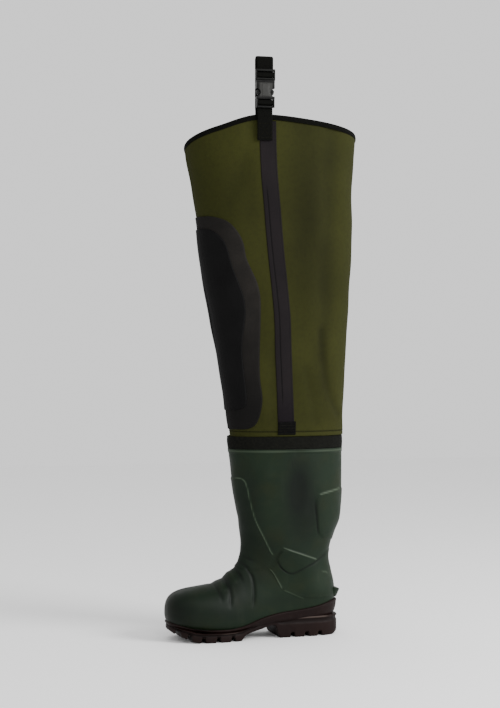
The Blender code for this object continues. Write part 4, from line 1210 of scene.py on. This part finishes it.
def thread(name, stitches, material, slot):
    """Short raised threads. stitches: (start, end, outward direction)."""
    points = []
    faces = []
    for start, end, out in stitches:
        along = (end - start) / 2
        side = np.cross(along, out)
        side *= 0.00035 / np.linalg.norm(side)
        base = len(points)
        for share, lift in ((-1, -0.0003), (-0.6, 0.0003), (0.6, 0.0003), (1, -0.0003)):
            middle = start + along * (1 + share) + out * lift
            points += [middle - side, middle + side]
        faces += [(base + 2 * k, base + 2 * k + 2, base + 2 * k + 3, base + 2 * k + 1) for k in range(3)]
    return dress(mesh_object(name, points, faces), material, slot=slot)


def row_on_leg(z, first, last, count, lift):
    """Stitches in a row round the leg between two turns."""
    turns = np.linspace(first, last, count + 1)
    starts, ends, outs = (leg_surface(z, turns[:-1] + share * (turns[1] - turns[0]), rise)
                          for share, rise in ((0, lift), (0.62, lift), (0, lift + 0.01)))
    outs -= starts
    outs /= np.linalg.norm(outs, axis=1, keepdims=True)
    return list(zip(starts, ends, outs))


def make_stitches(material):
    """Thread along the hem, across the end patch and round the strap's sewn end."""
    thread("hem_stitches", row_on_leg(hem_height + hem_stitch, 0, 2 * math.pi, 190, 0.0001), material, "leg")
    stitches = []
    for row in range(4):
        z = patch_low + 0.0022 + row * stitch_pitch
        front, back = (edge_turn(z, along_foot(patch_along) + side, 1) for side in (-0.013, 0.013))
        stitches += row_on_leg(z, front, back, 11, 2 * tape_thickness + 0.0004)
    thread("patch_stitches", stitches, material, "tape_end_patch")
    stitches = []
    half = webbing_width / 2 - 0.0025
    corners = np.array([(-half, -0.038), (half, -0.038), (half, -0.014), (-half, -0.014)])
    out = 0.32 * buckle_depth + webbing_thickness / 2
    facing = np.subtract(strap_place(0, 1, 0), strap_place(0, 0, 0))
    for a, b in ((0, 1), (1, 2), (2, 3), (3, 0), (0, 2), (1, 3)):
        run = corners[b] - corners[a]
        count = round(math.hypot(*run) / 0.0030)
        for k in range(count):
            ends = [corners[a] + share * run for share in (k / count, (k + 0.65) / count)]
            stitches.append((*(np.array(strap_place(across, out, up)) for across, up in ends), facing))
    thread("strap_stitches", stitches, material, "buckle_strap")


# Straps and buckle, in a frame at the collar: across, out and up


strap_x = along_foot(strap_along)
leg_middle, leg_half_depth, leg_half_width = (float(size) for size in leg_oval(collar_height))
strap_bend = 1 - abs((strap_x - leg_middle) / leg_half_depth) ** leg_square
strap_y = -leg_half_width * strap_bend ** (1 / leg_square) - binding_thickness / 2


def strap_place(across, out, up):
    c = math.cos(strap_turn)
    s = math.sin(strap_turn)
    return (strap_x + across * c - out * s, strap_y - across * s - out * c, collar_height + up)


def in_strap_frame(piece):
    for vertex in piece.data.vertices:
        vertex.co = strap_place(*vertex.co)
    return outwards(piece)


def ribbon(name, path, width):
    """Webbing along a smooth path of (out, up) points. Returns the piece and the webbing's length."""
    dense = smooth_rows(path, np.linspace(0, len(path) - 1, 10 * (len(path) - 1) + 1))
    step = np.gradient(dense, axis=0)
    step /= np.linalg.norm(step, axis=1, keepdims=True) + 1e-12
    weights = np.linspace(-1, 1, 29)
    thin = np.sqrt(np.clip(1 - np.abs(weights) ** 10, 0, 1)) * 0.9 + 0.1
    half = (webbing_thickness / 2 * thin * (1 + 0.05 * np.cos(weights * math.pi * 9)))[None, :]
    sides = []
    for side in (1, -1):
        out = dense[:, None, 0] - side * step[:, None, 1] * half
        up = dense[:, None, 1] + side * step[:, None, 0] * half
        sides.append(np.stack([np.broadcast_to(weights * width / 2, out.shape), out, up], -1))
    length = float(np.linalg.norm(np.diff(dense, axis=0), axis=1).sum())
    return in_strap_frame(slab(name, *sides)), length


def through_bars(shares):
    """Path of the webbing through the buckle's bars."""
    return [(out * buckle_depth, up * strap_rise) for out, up in shares]


def make_buckle_strap(material):
    turn = through_bars(short_turn)
    front = turn[0][0]
    path = [(front, -strap_sewn), (front, -0.02), (front, 0.0)] + turn
    piece, length = ribbon("short_webbing", path, webbing_width)
    dress(piece, material, "buckle_strap")
    return length


def make_loop_strap(material):
    turn = through_bars(loop_turn)
    radius = belt_gap / 2 + webbing_thickness * 1.1
    centre = turn[0][0] - radius
    back = centre - radius
    top = strap_rise - radius
    behind = -(leg_wall + 2 * binding_thickness + 0.0004 + webbing_thickness / 2 + seam_gap)
    path = [(behind, -strap_sewn), (behind, -0.02), (behind, 0.06 * strap_rise), (back, 0.16 * strap_rise),
            (back, 0.5 * strap_rise)]
    angles = [math.pi * k / 8 for k in range(9)]
    path += [(centre - radius * math.cos(angle), top + radius * math.sin(angle)) for angle in angles]
    piece, length = ribbon("loop_webbing", path + turn, loop_webbing_width)
    dress(piece, material, "belt_loop_strap")
    return length


def from_work(name, work):
    mesh = bpy.data.meshes.new(name)
    work.to_mesh(mesh)
    work.free()
    return add_object(name, mesh)


def plate(low, high, bevel=0.0):
    """Block between two corners: across in metres, out and up as shares of buckle depth and strap rise."""
    work = bmesh.new()
    bmesh.ops.create_cube(work, size=1.0)
    scale = (1.0, buckle_depth, strap_rise)
    for vertex in work.verts:
        vertex.co = [unit * (a + (share + 0.5) * (b - a))
                     for unit, a, b, share in zip(scale, low, high, vertex.co)]
    if bevel:
        bmesh.ops.bevel(work, geom=work.edges, offset=bevel, segments=3, profile=0.5, affect="EDGES")
    return from_work("plate", work)


def centred(half, out, up, bevel):
    return plate((-half, out[0], up[0]), (half, out[1], up[1]), bevel)


def on_side(side, near, far, out, up, bevel):
    low, high = sorted((side * near, side * far))
    return plate((low, out[0], up[0]), (high, out[1], up[1]), bevel)


def prism(outline, low, high):
    """Outline of (across, up) points, swept between two depths."""
    work = bmesh.new()
    face = work.faces.new([work.verts.new((x, low, z)) for x, z in outline])
    swept = bmesh.ops.extrude_face_region(work, geom=[face])
    moved = [item for item in swept["geom"] if isinstance(item, bmesh.types.BMVert)]
    bmesh.ops.translate(work, verts=moved, vec=(0.0, high - low, 0.0))
    bmesh.ops.recalc_face_normals(work, faces=work.faces)
    return from_work("prism", work)


def joined(name, pieces):
    """One mesh from several, which keeps each one's rounded edges."""
    points = []
    faces = []
    for piece in pieces:
        start = len(points)
        points += [tuple(vertex.co) for vertex in piece.data.vertices]
        faces += [[start + i for i in face.vertices] for face in piece.data.polygons]
        bpy.data.objects.remove(piece)
    return in_strap_frame(add_mesh(name, points, faces))


def make_female(material):
    half = webbing_width / 2 + seam_gap + rail_width
    hollow = webbing_width / 2 * 0.94
    body = centred(half, (-0.05, 0.90), (0.263, 0.575), 0.0)
    cut_away(body, centred(hollow, (0.18, 0.67), (0.287, 0.616), 0.0))
    middle = 0.372 * strap_rise
    reach = 0.072 * strap_rise
    for side in (-1, 1):
        angles = [math.pi * (k / 16 - 0.5) for k in range(17)]
        waist = [(side * half * (1.065 - 0.535 * math.cos(a)), middle + reach * math.sin(a)) for a in angles]
        waist += [(side * half * 1.3, middle + reach), (side * half * 1.3, middle - reach)]
        cut_away(body, prism(waist, -buckle_depth / 2, buckle_depth * 1.4))
    bevelled(body, 0.0010, 3)
    parts = [body]
    parts += [
        *(on_side(side, half - rail_width, half, (0.28, 0.85), (0.121, 0.308), 0.0006) for side in (-1, 1)),
        centred(half * 0.98, (0.45, 0.82), (0.118, 0.148), 0.0006),
        centred(half * 0.935, (0.46, 0.66), (0.197, 0.228), 0.0005),
        centred(half, (-0.02, 0.99), (0.545, 0.582), 0.0006),
        centred(half * 0.40, (0.80, 0.96), (0.300, 0.520), 0.0007),
    ]
    return dress(joined("buckle_socket", parts), material, "buckle_female")


def make_male(material):
    half = loop_webbing_width / 2 + seam_gap + rail_width
    arm = webbing_width / 2
    parts = [centred(half, (0.20, 0.68), (0.580, 0.614), 0.0005)]
    for side in (-1, 1):
        parts.append(on_side(side, half - rail_width, half, (0.22, 0.78), (0.585, 0.772), 0.0006))
        parts.append(on_side(side, arm * 0.706, arm * 0.902, (0.23, 0.62), (0.411, 0.595), 0.0004))
        curved = rounded(prong, closed=True, times=1)
        outline = [(side * arm * across, up * strap_rise) for across, up in curved]
        parts.append(bevelled(prism(outline, 0.23 * buckle_depth, 0.62 * buckle_depth), 0.0004, 2))
    parts += [
        centred(half * 0.94, (0.46, 0.80), (0.737, 0.772), 0.0006),
        centred(half * 0.94, (0.40, 0.58), (0.653, 0.686), 0.0005),
        centred(half * 0.94, (0.55, 0.80), (0.590, 0.622), 0.0006),
        centred(arm * 0.235, (0.25, 0.60), (0.452, 0.595), 0.0004),
    ]
    return dress(joined("buckle_ladder", parts), material, "buckle_male")


# Camera, floor and light


def make_camera():
    data = bpy.data.cameras.new("camera")
    camera = add_object("camera", data)
    x, y, z = view_target
    camera.location = (x - math.sin(view_turn) * view_distance, y - math.cos(view_turn) * view_distance, z)
    camera.rotation_euler = (math.pi / 2, 0.0, -view_turn)
    data.sensor_fit = "VERTICAL"
    data.sensor_height = 36
    data.lens = 36 * view_distance / (picture_height * pixel_size)
    bpy.context.scene.camera = camera


def area_light(name, place, target, size, power):
    data = bpy.data.lights.new(name, "AREA")
    data.shape = "DISK"
    data.size = size
    data.energy = power
    lamp = add_object(name, data)
    lamp.location = place
    x, y, z = np.subtract(target, place)
    lamp.rotation_euler = (math.atan2(math.hypot(x, y), -z), 0.0, math.atan2(y, x) - math.pi / 2)


def make_stage():
    floor = mesh_object("floor", [(-4, -4, 0), (4, -4, 0), (4, 4, 0), (-4, 4, 0)], [(0, 1, 2, 3)])
    paint = Paint("floor", 0.7)
    paint.shader.inputs["Base Color"].default_value = (0.93, 0.93, 0.93, 1.0)
    floor.data.materials.append(paint.material)
    world = bpy.data.worlds.new("studio")
    bpy.context.scene.world = world
    world.use_nodes = True
    background = world.node_tree.nodes["Background"]
    background.inputs["Color"].default_value = (1.0, 1.0, 1.0, 1.0)
    background.inputs["Strength"].default_value = 1.1
    middle = (-0.08, 0.0, 0.45)
    area_light("key", (1.6, -1.6, 1.5), middle, 1.2, 85)
    area_light("front", (-0.6, -2.2, 1.9), middle, 1.6, 14)


make_camera()
short_length = make_buckle_strap(webbing_cloth())
loop_length = make_loop_strap(webbing_cloth())
make_stage()

boot = make_boot()
rubber = sole_rubber()
make_spur(boot.data.materials[0])
make_sole(rubber)
make_cup(rubber)
make_insole(lining())
make_leg()
make_pad("pad_under", outer_pad_edge, seam_gap, pad_cloth(), "knee_pad_outer")
make_pad("pad_over", inner_pad_edge, seam_gap * 2 + pad_thickness, pad_grip(), "knee_pad_inner")
make_tape()
make_patch(black_cloth("patch_cloth", (30, 29, 29), (44, 42, 42), 450))
make_binding(black_cloth("binding_cloth", (20, 21, 14), (32, 33, 22), 600))
make_band(black_cloth("joint_rubber", (42, 43, 36), (56, 57, 48), 300))
make_stitches(black_cloth("thread", (60, 60, 38), (84, 83, 54), 900))
pale = (collar_height + 0.285 * strap_rise, collar_height + 0.555 * strap_rise)
make_female(buckle_plastic("socket_plastic", (30, 30, 29), 0.30, pale))
make_male(buckle_plastic("ladder_plastic", (27, 28, 24), 0.36))

print("webbing lengths", round(short_length, 4), round(loop_length, 4))
